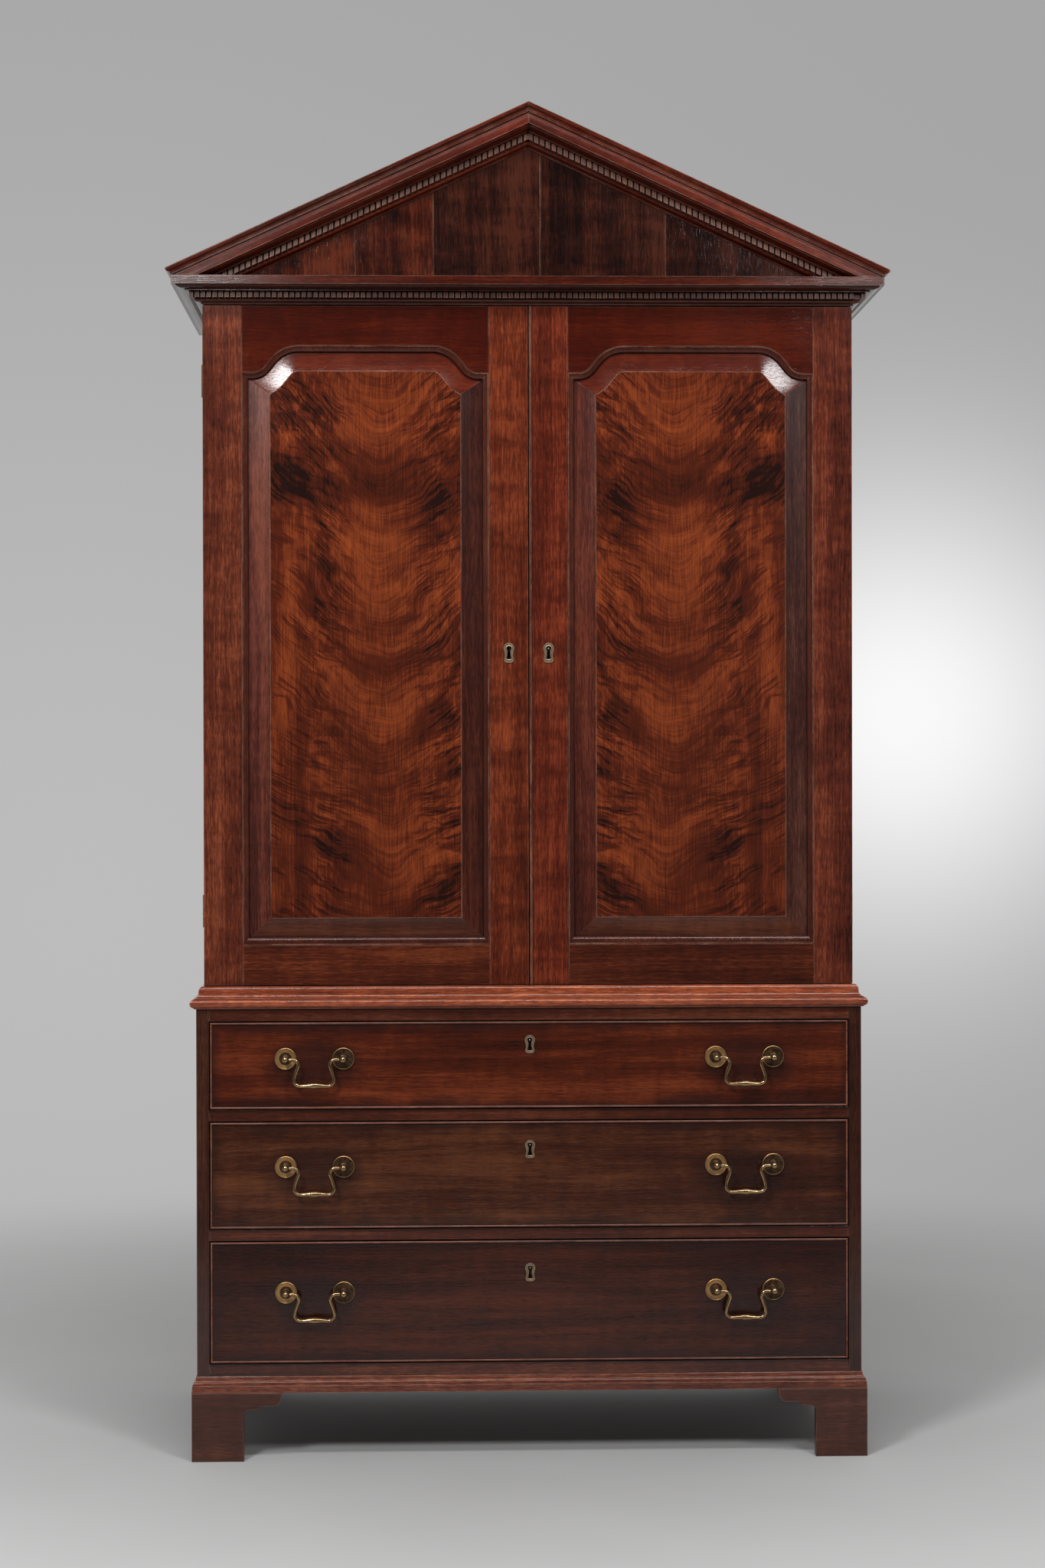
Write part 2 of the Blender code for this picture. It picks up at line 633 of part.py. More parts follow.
def opening_outline(centre_x, side_in, top_in, bottom_in):
    """The door opening set in by three distances, anticlockwise from its bottom left corner.

    The top has a level shoulder at each side, then an arc, a straight slope and a wider arc up
    to the level middle.
    """
    bottom = DOOR_BOTTOM + DOOR_BOTTOM_RAIL + bottom_in
    middle = DOOR_TOP - DOOR_TOP_RAIL_MIDDLE
    low_z = middle - DOOR_SHOULDER_DROP + DOOR_SHOULDER_LOW_RADIUS
    high_z = middle - DOOR_SHOULDER_HIGH_RADIUS
    low_x = OPENING_HALF - DOOR_SHOULDER_FLAT
    high_x = low_x - SHOULDER_RUN
    low_radius = DOOR_SHOULDER_LOW_RADIUS + top_in
    high_radius = DOOR_SHOULDER_HIGH_RADIUS - top_in
    half = OPENING_HALF - side_in
    start = math.asin(max(0.0, low_x - half) / low_radius)
    right = [(half, bottom), (half, low_z - low_radius * math.cos(start))]
    for step in range(OPENING_ARC_STEPS + 1):
        angle = start + (DOOR_SHOULDER_SLOPE - start) * step / OPENING_ARC_STEPS
        right.append((low_x - low_radius * math.sin(angle), low_z - low_radius * math.cos(angle)))
    for step in range(OPENING_ARC_STEPS + 1):
        angle = DOOR_SHOULDER_SLOPE * (1 - step / OPENING_ARC_STEPS)
        right.append((high_x + high_radius * math.sin(angle), high_z + high_radius * math.cos(angle)))
    left = [(-x, z) for x, z in reversed(right)]
    return [(centre_x + x, z) for x, z in right + left]


def loft(rings, closed):
    """Join rings of as many points each; cap the first and last or close them on each other."""
    bm = bmesh.new()
    loops = [[bm.verts.new(point) for point in ring] for ring in rings]
    pairs = list(zip(loops, loops[1:]))
    if closed:
        pairs.append((loops[-1], loops[0]))
    else:
        bm.faces.new(loops[0])
        bm.faces.new(loops[-1])
    for near, far in pairs:
        count = len(near)
        for index in range(count):
            after = (index + 1) % count
            bm.faces.new((near[index], near[after], far[after], far[index]))
    bmesh.ops.remove_doubles(bm, verts=bm.verts, dist=SEAT_GAP / 100)
    bmesh.ops.dissolve_degenerate(bm, edges=bm.edges, dist=SEAT_GAP / 100)
    return bm


def ring(centre_x, depth, side_in, top_in, bottom_in):
    outline = opening_outline(centre_x, side_in, top_in, bottom_in)
    return [Vector((x, DOOR_FACE_Y + depth, z)) for x, z in outline]


def panel_bmesh(centre_x):
    """The fielded panel: a tongue in the groove, a wide bevel, a small step and the flat field."""
    reach = -PANEL_TONGUE_REACH
    margin = (PANEL_MOULDING_WIDTH, PANEL_MOULDING_WIDTH, PANEL_MOULDING_BOTTOM_WIDTH)
    field = (
        PANEL_MOULDING_WIDTH + PANEL_BEVEL_SIDE,
        PANEL_MOULDING_WIDTH + PANEL_BEVEL_RAIL,
        PANEL_MOULDING_BOTTOM_WIDTH + PANEL_BEVEL_RAIL,
    )
    back = PANEL_TONGUE_DEPTH + PANEL_TONGUE_THICKNESS
    return loft([
        ring(centre_x, back, reach, reach, reach),
        ring(centre_x, PANEL_TONGUE_DEPTH, reach, reach, reach),
        ring(centre_x, PANEL_TONGUE_DEPTH, *margin),
        ring(centre_x, PANEL_FIELD_DEPTH + PANEL_FIELD_STEP, *field),
        ring(centre_x, PANEL_FIELD_DEPTH, *field),
    ], closed=False)


def panel_moulding_bmesh(centre_x):
    """The small moulding planted round the opening: a lip, a quirk and a quarter round."""
    top = PANEL_MOULDING_SETBACK
    low = PANEL_TONGUE_DEPTH - SEAT_GAP
    lip = PANEL_MOULDING_LIP_SHARE
    quirk = top + (low - top) * PANEL_MOULDING_QUIRK_SHARE
    foot = low - (low - top) * PANEL_MOULDING_FOOT_SHARE
    section = [(0.0, low), (0.0, top), (lip, top), (lip, quirk)]
    section += quarter((lip, quirk), (1.0, foot), leave_first=True)[1:]
    section += [(1.0, low)]
    rings = []
    for share, depth in section:
        width = SEAT_GAP + (PANEL_MOULDING_WIDTH - SEAT_GAP) * share
        bottom_width = SEAT_GAP + (PANEL_MOULDING_BOTTOM_WIDTH - SEAT_GAP) * share
        rings.append(ring(centre_x, depth, width, width, bottom_width))
    return loft(rings, closed=True)


def groove_bmesh(centre_x):
    """The groove that the panel's tongue sits in, as one thick outline."""
    reach = -(PANEL_TONGUE_REACH + PANEL_GROOVE_CLEARANCE)
    front = PANEL_TONGUE_DEPTH - SEAT_GAP
    back = PANEL_TONGUE_DEPTH + PANEL_TONGUE_THICKNESS + SEAT_GAP
    return loft([ring(centre_x, back, reach, reach, reach), ring(centre_x, front, reach, reach, reach)],
                closed=False)


def top_rail_bmesh(centre_x):
    half = OPENING_HALF - SEAT_GAP
    edge = [(x, z) for x, z in opening_outline(0.0, 0.0, 0.0, 0.0)[1:-1]]
    edge[0] = (half, edge[0][1])
    edge[-1] = (-half, edge[-1][1])
    outline = edge + [(-half, DOOR_TOP), (half, DOOR_TOP)]
    bm = stand_up(outline_bmesh([(x + centre_x, z) for x, z in outline], DOOR_THICKNESS),
                  DOOR_FACE_Y + DOOR_THICKNESS / 2)
    return bm


def make_door(prefix, side):
    """One door of two stiles, two rails, a fielded panel in grooves and its planted moulding."""
    x, y = hinge_axis(side)
    pivot = make_empty(prefix + "_pivot", (x, y, DOOR_BOTTOM))
    centre = side * (UPPER_HALF + DOOR_GAP / 2) / 2
    wood, rail_wood = MATERIALS["door_frame"], MATERIALS["door_rail"]
    groove = make_tool(prefix + "_groove", groove_bmesh(centre))
    back_y = DOOR_FACE_Y + DOOR_THICKNESS
    outer = DOOR_WIDTH / 2
    pieces = {}
    for role, at in (("hinge_stile", side), ("meeting_stile", -side)):
        xs = sorted((centre + at * outer, centre + at * OPENING_HALF))
        pieces[role] = board(f"{prefix}_{role}", (xs[0], DOOR_FACE_Y, DOOR_BOTTOM),
                             (xs[1], back_y, DOOR_TOP), wood, pivot)
    half = OPENING_HALF - SEAT_GAP
    pieces["bottom_rail"] = board(
        prefix + "_bottom_rail", (centre - half, DOOR_FACE_Y, DOOR_BOTTOM),
        (centre + half, back_y, DOOR_BOTTOM + DOOR_BOTTOM_RAIL), wood, pivot,
    )
    middle = (centre, DOOR_FACE_Y + DOOR_THICKNESS / 2, DOOR_TOP)
    pieces["top_rail"] = object_from_bmesh(
        prefix + "_top_rail", top_rail_bmesh(centre), rail_wood, middle, pivot
    )
    for piece in pieces.values():
        add_boolean(piece, groove, "DIFFERENCE")
    cut_hinges(pieces["hinge_stile"], prefix, side, on_case=False)
    centre_point = (centre, DOOR_FACE_Y, DOOR_BOTTOM + DOOR_HEIGHT / 2)
    object_from_bmesh(prefix + "_panel", panel_bmesh(centre), MATERIALS["panel"], centre_point, pivot)
    object_from_bmesh(prefix + "_panel_moulding", panel_moulding_bmesh(centre), rail_wood,
                      centre_point, pivot)
    make_door_lock(prefix, side, pieces["meeting_stile"], pivot)
    if side > 0:
        make_astragal(pivot)


def make_astragal(pivot):
    """The thin rounded strip on the right door's meeting edge."""
    low_x = DOOR_GAP / 2
    top = DOOR_FACE_Y - ASTRAGAL_THICKNESS
    base = DOOR_FACE_Y - SEAT_GAP
    half = ASTRAGAL_WIDTH / 2
    section = [(low_x, base)]
    section += quarter((low_x, base), (low_x + half, top), leave_first=False)[1:]
    section += quarter((low_x + half, top), (low_x + ASTRAGAL_WIDTH, base), leave_first=True)[1:]
    stations = [lambda p: Vector((p[0], p[1], DOOR_BOTTOM)), lambda p: Vector((p[0], p[1], DOOR_TOP))]
    sweep("right_door_astragal", section, stations, MATERIALS["door_frame"], pivot)


# Locks and escutcheons

def keyhole_outline(x, z):
    """A round head over a slot, for a key."""
    slot = KEYHOLE_SLOT_WIDTH / 2
    neck = math.asin(slot / KEYHOLE_HEAD_RADIUS)
    low = z - KEYHOLE_HEAD_RADIUS - KEYHOLE_SLOT_DROP
    points = [(x + slot, low)]
    for step in range(KEYHOLE_STEPS + 1):
        angle = -math.radians(90) + neck + (math.radians(360) - 2 * neck) * step / KEYHOLE_STEPS
        points.append((x + KEYHOLE_HEAD_RADIUS * math.cos(angle), z + KEYHOLE_HEAD_RADIUS * math.sin(angle)))
    points.append((x - slot, low))
    return points


def escutcheon_outline(x, z, width, height):
    """A plate with rounded ends and a slightly drawn-in waist."""
    half, tall = width / 2, height / 2
    waist = half * ESCUTCHEON_WAIST_SHARE
    points = []
    for sign_x, sign_z in ((1, -1), (1, 1), (-1, 1), (-1, -1)):
        corner = quarter((sign_x * half, sign_z * (tall - half)), (0.0, sign_z * tall), False)[:-1]
        if sign_x * sign_z < 0:
            corner = list(reversed(corner))
            points += [(0.0, sign_z * tall)] + corner
            points.append((sign_x * waist, 0.0))
        else:
            points += corner
    return [(x + px, z + pz) for px, pz in points]


def make_lock(name, x, z, face_y, thickness, plate_size, carrier, parent, case=None):
    """A brass plate with its keyhole liner and, where the piece locks, the case let in behind.

    The case is (width, height, share of its height above the keyhole).
    """
    liner_z = z - KEYHOLE_HEAD_RADIUS
    plate = stand_up(outline_bmesh(escutcheon_outline(x, z, *plate_size), ESCUTCHEON_THICKNESS),
                     face_y - SEAT_GAP - ESCUTCHEON_THICKNESS / 2)
    centre = (x, face_y, z)
    lock = object_from_bmesh(name, plate, MATERIALS["brass"], centre, parent)
    back_y = face_y + thickness
    case_front = back_y - LOCK_DEPTH
    liner_end = case_front + LOCK_DEPTH / 2 if case else back_y
    liner = cylinder_bmesh(KEYHOLE_TUBE_RADIUS, (x, face_y - ESCUTCHEON_THICKNESS / 2, liner_z),
                           (x, liner_end, liner_z), KNUCKLE_SIDES)
    add_boolean(lock, make_tool(name + "_liner", liner), "UNION")
    hole = cylinder_bmesh(KEYHOLE_TUBE_RADIUS + SEAT_GAP, (x, face_y - CUT_OVERRUN, liner_z),
                          (x, back_y + CUT_OVERRUN, liner_z), KNUCKLE_SIDES)
    add_boolean(carrier, make_tool(name + "_hole", hole), "DIFFERENCE")
    if case:
        width, height, above = case
        low = Vector((x - width / 2, case_front, liner_z - height * (1 - above)))
        high = Vector((x + width / 2, back_y, liner_z + height * above))
        add_boolean(lock, make_tool(name + "_case", box_bmesh(low, high)), "UNION")
        gap = Vector((SEAT_GAP, SEAT_GAP, SEAT_GAP))
        over = Vector((0.0, CUT_OVERRUN, 0.0))
        recess = box_bmesh(low - gap, high + gap + over)
        add_boolean(carrier, make_tool(name + "_recess", recess), "DIFFERENCE")
    keyhole_end = liner_end if case else back_y + CUT_OVERRUN
    front_y = face_y - CUT_OVERRUN
    keyhole = stand_up(outline_bmesh(keyhole_outline(x, z), keyhole_end - front_y),
                       (keyhole_end + front_y) / 2)
    add_boolean(lock, make_tool(name + "_keyhole", keyhole), "DIFFERENCE")
    return lock


def make_door_lock(prefix, side, stile, pivot):
    """The right door locks; the left door has an escutcheon alone."""
    x = side * (DOOR_GAP / 2 + STILE_WIDTH / 2)
    name = prefix + ("_lock" if side > 0 else "_escutcheon")
    case = (*DOOR_LOCK_SIZE, DOOR_LOCK_ABOVE_SHARE) if side > 0 else None
    make_lock(name, x, DOOR_BOTTOM + DOOR_LOCK_RISE, DOOR_FACE_Y, DOOR_THICKNESS,
              DOOR_ESCUTCHEON_SIZE, stile, pivot, case)


# Drawers

def drawer_bottoms():
    """Bottom height of each drawer, from the top one down."""
    bottoms = []
    height = LOWER_TOP - TOP_RAIL_HEIGHT
    for drawer_height in DRAWER_HEIGHTS:
        height -= DRAWER_GAP + drawer_height
        bottoms.append(height)
        height -= DRAWER_GAP + DIVIDER_THICKNESS
    return bottoms


def drawer_front_bmesh(half, low, high):
    """A drawer front whose edges stand proud as a cock bead."""
    bead_y = LOWER_FRONT_Y - COCK_BEAD_PROJECTION
    bm = box_bmesh((-half, bead_y, low), (half, LOWER_FRONT_Y + DRAWER_FRONT_THICKNESS, high))
    bm.faces.ensure_lookup_table()
    face = min(bm.faces, key=lambda item: item.calc_center_median().y)
    bmesh.ops.inset_region(bm, faces=[face], thickness=COCK_BEAD_WIDTH)
    made = bmesh.ops.extrude_face_region(bm, geom=[face, *face.edges])["geom"]
    verts = [item for item in made if isinstance(item, bmesh.types.BMVert)]
    bmesh.ops.translate(bm, vec=(0.0, COCK_BEAD_PROJECTION, 0.0), verts=verts)
    proud = [edge for edge in bm.edges if all(vert.co.y < bead_y + SEAT_GAP for vert in edge.verts)
             and len(edge.link_faces) == 2 and edge.calc_face_angle(0.0) > math.radians(45)]
    bmesh.ops.bevel(bm, geom=proud, offset=COCK_BEAD_ROUNDING, segments=1, affect="EDGES")
    return bm


def post_profile():
    """Rose, neck and ball of a handle post: (distance out from the drawer face, radius)."""
    out = ROSE_THICKNESS
    sunk = ROSE_THICKNESS - ROSE_DISH_DEPTH
    profile = [(0.0, ROSE_RADIUS), (out / 2, ROSE_RADIUS), (out, (ROSE_RADIUS + ROSE_DISH_RADIUS) / 2)]
    profile += [(sunk, ROSE_DISH_RADIUS * 2 / 3), (out, POST_NECK_RADIUS)]
    neck = math.asin(POST_NECK_RADIUS / POST_BALL_RADIUS)
    for step in range(BALL_STEPS + 1):
        angle = neck + (math.radians(180) - neck) * step / BALL_STEPS
        profile.append((POST_REACH - POST_BALL_RADIUS * math.cos(angle), POST_BALL_RADIUS * math.sin(angle)))
    profile[-1] = (profile[-1][0], 0.0)
    return profile


def posts_bmesh(centres, height):
    """The turned posts of a drawer, sunk a little into its face where they join it."""
    bm = bmesh.new()
    profile = [(-CUT_OVERRUN, 0.0), (-CUT_OVERRUN, ROSE_RADIUS)] + post_profile()[1:]
    half_side = math.radians(180) / POST_SIDES
    across, up = math.cos(half_side), math.sin(half_side)
    for x in centres:
        verts = [bm.verts.new((x + radius * across, LOWER_FRONT_Y - out, height + radius * up))
                 for out, radius in profile]
        edges = [bm.edges.new(pair) for pair in zip(verts, verts[1:])]
        bmesh.ops.spin(bm, geom=verts + edges, cent=(x, 0.0, height), axis=(0.0, 1.0, 0.0),
                       angle=math.radians(360), steps=POST_SIDES, use_merge=True)
    bmesh.ops.remove_doubles(bm, verts=bm.verts, dist=SEAT_GAP / 100)
    return bm


def handle_centres():
    return (-HANDLE_OFFSET, HANDLE_OFFSET)


def bail_points(x):
    """One bail from its left pin to its right pin: (x, drop below the pin, radius)."""
    half = HANDLE_SPAN / 2
    pin_end = half - POST_BALL_RADIUS + BAIL_PIN_LENGTH
    neck = half - POST_BALL_RADIUS - BAIL_WIRE_RADIUS
    left = [
        (pin_end, 0.0, BAIL_PIN_RADIUS),
        (neck + BAIL_PIN_RADIUS, 0.0, BAIL_PIN_RADIUS),
        (neck, 0.0, BAIL_WIRE_RADIUS),
        ((neck + half - BAIL_SHOULDER_INSET) / 2, BAIL_SHOULDER_DROP / 6, BAIL_WIRE_RADIUS),
        (half - BAIL_SHOULDER_INSET, BAIL_SHOULDER_DROP / 2, BAIL_WIRE_RADIUS),
        (half - BAIL_WAIST_INSET, BAIL_SHOULDER_DROP * 5 / 4, BAIL_WIRE_RADIUS),
        (half - (BAIL_WAIST_INSET + BAIL_BELLY_INSET) / 2, BAIL_BELLY_DROP * 2 / 3, BAIL_WIRE_RADIUS),
        (half - BAIL_BELLY_INSET, BAIL_BELLY_DROP, BAIL_WIRE_RADIUS),
        (half - BAIL_BELLY_INSET, (BAIL_BELLY_DROP + BAIL_CORNER_DROP) / 2, BAIL_WIRE_RADIUS),
        (half - BAIL_CORNER_INSET, BAIL_CORNER_DROP, BAIL_WIRE_RADIUS),
        (half - BAIL_CORNER_INSET * 4 / 3, BAIL_DROP, BAIL_WIRE_RADIUS),
        (half / 4, BAIL_DROP, BAIL_GRIP_RADIUS * 4 / 5),
    ]
    points = [(-px, drop, radius) for px, drop, radius in left]
    points += [(0.0, BAIL_DROP, BAIL_GRIP_RADIUS)]
    points += [(px, drop, radius) for px, drop, radius in reversed(left)]
    return [(x + px, drop, radius) for px, drop, radius in points]


def make_bail(name, x, height, slide):
    """A swan-neck bail bent from tapered wire, hanging from its two pins."""
    axis_y = LOWER_FRONT_Y - POST_REACH
    pivot = make_empty(name + "_pivot", Vector((x, axis_y, height)) - slide.location)
    pivot.parent = slide
    curve = bpy.data.curves.new(name, "CURVE")
    curve.dimensions = "3D"
    curve.bevel_depth = BAIL_WIRE_RADIUS
    curve.bevel_resolution = BAIL_BEVEL_RESOLUTION
    curve.use_fill_caps = True
    spline = curve.splines.new("POLY")
    points = bail_points(0.0)
    spline.points.add(len(points) - 1)
    for point, (px, drop, radius) in zip(spline.points, points):
        point.co = (px, 0.0, -drop, 1.0)
        point.radius = radius / BAIL_WIRE_RADIUS
    item = bpy.data.objects.new(name, curve)
    PARTS.objects.link(item)
    item.data.materials.append(MATERIALS["brass"])
    item.parent = pivot


def make_drawer(number, low, height):
    name = f"drawer_{number}"
    half = LOWER_INNER_HALF - DRAWER_GAP
    high = low + height
    slide = make_empty(name + "_slide", (0.0, LOWER_FRONT_Y, low))
    front = object_from_bmesh(name + "_front", drawer_front_bmesh(half, low, high),
                              MATERIALS["drawer"], (0.0, LOWER_FRONT_Y, (low + high) / 2), slide)
    handle_z = low + height * HANDLE_RISE_SHARE
    posts = [x + side * HANDLE_SPAN / 2 for x in handle_centres() for side in (-1, 1)]
    add_boolean(front, make_tool(name + "_posts", posts_bmesh(posts, handle_z)), "UNION")
    bores = bmesh.new()
    reach = POST_BALL_RADIUS - BAIL_PIN_LENGTH - BAIL_PIN_CLEARANCE
    axis_y = LOWER_FRONT_Y - POST_REACH
    for x in handle_centres():
        for side in (-1, 1):
            post_x = x + side * HANDLE_SPAN / 2
            cylinder_bmesh(BAIL_PIN_RADIUS + BAIL_PIN_CLEARANCE, (post_x - side * reach, axis_y, handle_z),
                           (post_x - side * (POST_BALL_RADIUS + CUT_OVERRUN), axis_y, handle_z),
                           BORE_SIDES, bores)
    add_boolean(front, make_tool(name + "_bores", bores), "DIFFERENCE")
    make_drawer_box(name, half, low, high, slide)
    lock_z = low + height * DRAWER_LOCK_RISE_SHARE
    make_lock(name + "_lock", 0.0, lock_z, LOWER_FRONT_Y, DRAWER_FRONT_THICKNESS,
              DRAWER_ESCUTCHEON_SIZE, front, slide, (*DRAWER_LOCK_SIZE, DRAWER_LOCK_ABOVE_SHARE))
    for side, x in zip(("left", "right"), handle_centres()):
        make_bail(f"{name}_bail_{side}", x, handle_z, slide)


def make_drawer_box(name, half, low, high, slide):
    """Two sides, a back and a bottom raised between them, closed in front by the drawer front."""
    front_y = LOWER_FRONT_Y + DRAWER_FRONT_THICKNESS + SEAT_GAP
    back_y = INNER_BACK_Y - DRAWER_BACK_CLEARANCE
    foot = low - DRAWER_GAP + DRAWER_RUNNING_GAP
    top = high - DRAWER_SIDE_DROP
    origin = (0.0, (front_y + back_y) / 2, low)
    box = object_from_bmesh(name + "_box", box_bmesh((-half, front_y, foot), (half, back_y, top)),
                            MATERIALS["lining"], origin, slide)
    room = half - DRAWER_SIDE_THICKNESS
    floor = foot + DRAWER_BOTTOM_RISE + DRAWER_BOTTOM_THICKNESS
    inside = box_bmesh((-room, front_y - CUT_OVERRUN, floor),
                       (room, back_y - DRAWER_SIDE_THICKNESS, top + CUT_OVERRUN))
    add_boolean(box, make_tool(name + "_room", inside), "DIFFERENCE")
    under = box_bmesh((-room, front_y - CUT_OVERRUN, foot - CUT_OVERRUN),
                      (room, back_y - DRAWER_SIDE_THICKNESS, foot + DRAWER_BOTTOM_RISE))
    add_boolean(box, make_tool(name + "_underside", under), "DIFFERENCE")


# Cornice and pediment

def bed_curve(bottom, fillet_height, height):
    """The bed mould under a dentil band: foot, cove, step, ovolo and fillet, from the bottom up."""
    cove_top = bottom + BED_COVE_HEIGHT * height / BED_HEIGHT
    points = quarter((BED_FOOT_PROJECTION, bottom), (BED_COVE_PROJECTION, cove_top), False)
    step = BED_COVE_PROJECTION + BED_FOOT_PROJECTION / 2
    points += quarter((step, cove_top), (BED_PROJECTION, bottom + height - fillet_height), True)
    points.append((BED_PROJECTION, bottom + height))
    return points


def cornice_section(inner):
    """The horizontal cornice from its bearing on the case up to the corona's top."""
    dentil_low = UPPER_TOP + BED_HEIGHT
    dentil_high = dentil_low + DENTIL_BAND_HEIGHT
    fillet_high = dentil_high + DENTIL_FILLET_HEIGHT
    soffit = fillet_high + SOFFIT_OVOLO_HEIGHT
    low = UPPER_TOP + SEAT_GAP
    section = [(-inner, low)]
    section += bed_curve(low, BED_FILLET_HEIGHT, BED_HEIGHT - SEAT_GAP)
    section += [(DENTIL_BACK_PROJECTION, dentil_low), (DENTIL_BACK_PROJECTION, dentil_high)]
    section += [(DENTIL_FILLET_PROJECTION, dentil_high), (DENTIL_FILLET_PROJECTION, fillet_high)]
    section += quarter((DENTIL_FILLET_PROJECTION, fillet_high), (SOFFIT_OVOLO_PROJECTION, soffit), True)[1:]
    section += [(CORONA_PROJECTION, soffit), (CORONA_PROJECTION, CORNICE_TOP)]
    return section


def cyma_curve(base, top):
    """The cyma recta of the cymatium, from its fillet up to its tip."""
    points = double_curve((CYMA_BASE_PROJECTION, base), (CYMA_PROJECTION, top), leave_first=False)
    return points


def mitre_station(side, back):
    """A station on the mitre plane of a front corner, drawn back by a seat gap."""
    return lambda p: Vector((side * (UPPER_HALF + p[0] - back), DOOR_FACE_Y - p[0], p[1]))


def make_cornice():
    wood = MATERIALS["moulding"]
    front = cornice_section(DOOR_THICKNESS + DOOR_BACK_GAP + CORNICE_BEARING)
    front.append((front[0][0], CORNICE_TOP))
    sweep("cornice_front", front, [mitre_station(-1, SEAT_GAP), mitre_station(1, SEAT_GAP)], wood)
    side_section = cornice_section(SIDE_THICKNESS)
    fillet_top = CORNICE_TOP + RETURN_FILLET_HEIGHT
    cyma_top = fillet_top + RETURN_CYMA_HEIGHT
    side_section += [(CYMA_FILLET_PROJECTION, CORNICE_TOP), (CYMA_FILLET_PROJECTION, fillet_top)]
    side_section += cyma_curve(fillet_top, cyma_top)
    side_section += [(CYMA_PROJECTION, CORNER_TIP_Z)]
    side_section += [(SEAT_GAP, CORNER_TIP_Z + CYMA_PROJECTION * math.tan(RAKE_ANGLE))]
    side_section += [(SEAT_GAP, CORNICE_TOP), (side_section[0][0], CORNICE_TOP)]
    for side, name in ((-1, "cornice_side_left"), (1, "cornice_side_right")):
        back = lambda p, side=side: Vector((side * (UPPER_HALF + p[0]), BACK_Y, p[1]))
        sweep(name, side_section, [back, mitre_station(side, 0.0)], wood)


def teeth(length, first, pitch, width):
    """Ends of each dentil along a run: whole teeth from its start to its end."""
    count = int((length + pitch - width) / pitch)
    return [(first + number * pitch, first + number * pitch + width) for number in range(count)]


def make_cornice_dentils():
    """One comb of dentils cut from a strip that runs round three sides in the cornice's recess."""
    strip_in = DENTIL_BACK_PROJECTION + SEAT_GAP
    strip_out = strip_in + DENTIL_STRIP_THICKNESS
    tip = DENTIL_PROJECTION
    front_length = 2 * (UPPER_HALF + tip)
    count = round((front_length + DENTIL_GAP) / DENTIL_PITCH)
    pitch = (front_length + DENTIL_GAP) / count
    width = pitch - DENTIL_GAP
    side_length = BACK_Y - DOOR_FACE_Y + tip
    low_z = UPPER_TOP + BED_HEIGHT + SEAT_GAP
    height = DENTIL_BAND_HEIGHT - 2 * SEAT_GAP
    corner = (-UPPER_HALF - tip, DOOR_FACE_Y - tip)
    left = []
    for near, far in teeth(side_length, 0.0, pitch, width)[1:]:
        y_near, y_far = corner[1] + near, corner[1] + far
        left += [(-UPPER_HALF - strip_out, y_near), (corner[0], y_near),
                 (corner[0], y_far), (-UPPER_HALF - strip_out, y_far)]
    side_run = [(-UPPER_HALF - strip_in, BACK_Y), (-UPPER_HALF - strip_out, BACK_Y)] + list(reversed(left))
    side_run += [(-UPPER_HALF - strip_out, corner[1] + width), (corner[0], corner[1] + width), corner]
    front_run = [(corner[0] + width, corner[1]), (corner[0] + width, DOOR_FACE_Y - strip_out)]
    for near, far in teeth(front_length, corner[0], pitch, width)[1:-1]:
        front_run += [(near, DOOR_FACE_Y - strip_out), (near, corner[1]),
                      (far, corner[1]), (far, DOOR_FACE_Y - strip_out)]
    front_run += [(-corner[0] - width, DOOR_FACE_Y - strip_out), (-corner[0] - width, corner[1])]
    other_side = [(-x, y) for x, y in reversed(side_run)]
    inner = [(UPPER_HALF + strip_in, DOOR_FACE_Y - strip_in), (-UPPER_HALF - strip_in, DOOR_FACE_Y - strip_in)]
    outline = side_run + front_run + other_side + inner
    stations = [lambda p: Vector((*p, low_z)), lambda p: Vector((*p, low_z + height))]
    sweep("cornice_dentils", outline, stations, MATERIALS["moulding"])


def rake_section():
    """Vertical section of the raking cornice at the apex: (projection, height)."""
    top = APEX_Z
    cyma_top = top - CYMA_TOP_FILLET
    cyma_base = cyma_top - CYMA_HEIGHT
    fillet_low = cyma_base - CYMA_FILLET_HEIGHT
    hollow_low = fillet_low - RAKE_HOLLOW_HEIGHT
    soffit = hollow_low - RAKE_CORONA_HEIGHT
    fillet_high = soffit - RAKE_SOFFIT_HEIGHT
    band_high = fillet_high - RAKE_FILLET_HEIGHT
    band_low = band_high - RAKE_DENTIL_BAND
    hollow = CORONA_PROJECTION - RAKE_HOLLOW_DEPTH
    section = [(SEAT_GAP, top), (CYMA_PROJECTION, top)]
    section += list(reversed(cyma_curve(cyma_base, cyma_top)))
    section += [(CYMA_FILLET_PROJECTION, cyma_base), (CYMA_FILLET_PROJECTION, fillet_low)]
    section += quarter((hollow, fillet_low), (CORONA_PROJECTION, hollow_low), False)
    section += [(CORONA_PROJECTION, soffit)]
    section += quarter((SOFFIT_OVOLO_PROJECTION, soffit), (DENTIL_FILLET_PROJECTION, fillet_high), False)
    section += [(DENTIL_FILLET_PROJECTION, band_high), (DENTIL_BACK_PROJECTION, band_high)]
    section += [(DENTIL_BACK_PROJECTION, band_low)]
    bed_low = band_low - RAKE_BED_HEIGHT
    section += list(reversed(bed_curve(bed_low, RAKE_BED_FILLET_HEIGHT, RAKE_BED_HEIGHT)))
    section += [(SEAT_GAP, bed_low)]
    return section, band_low


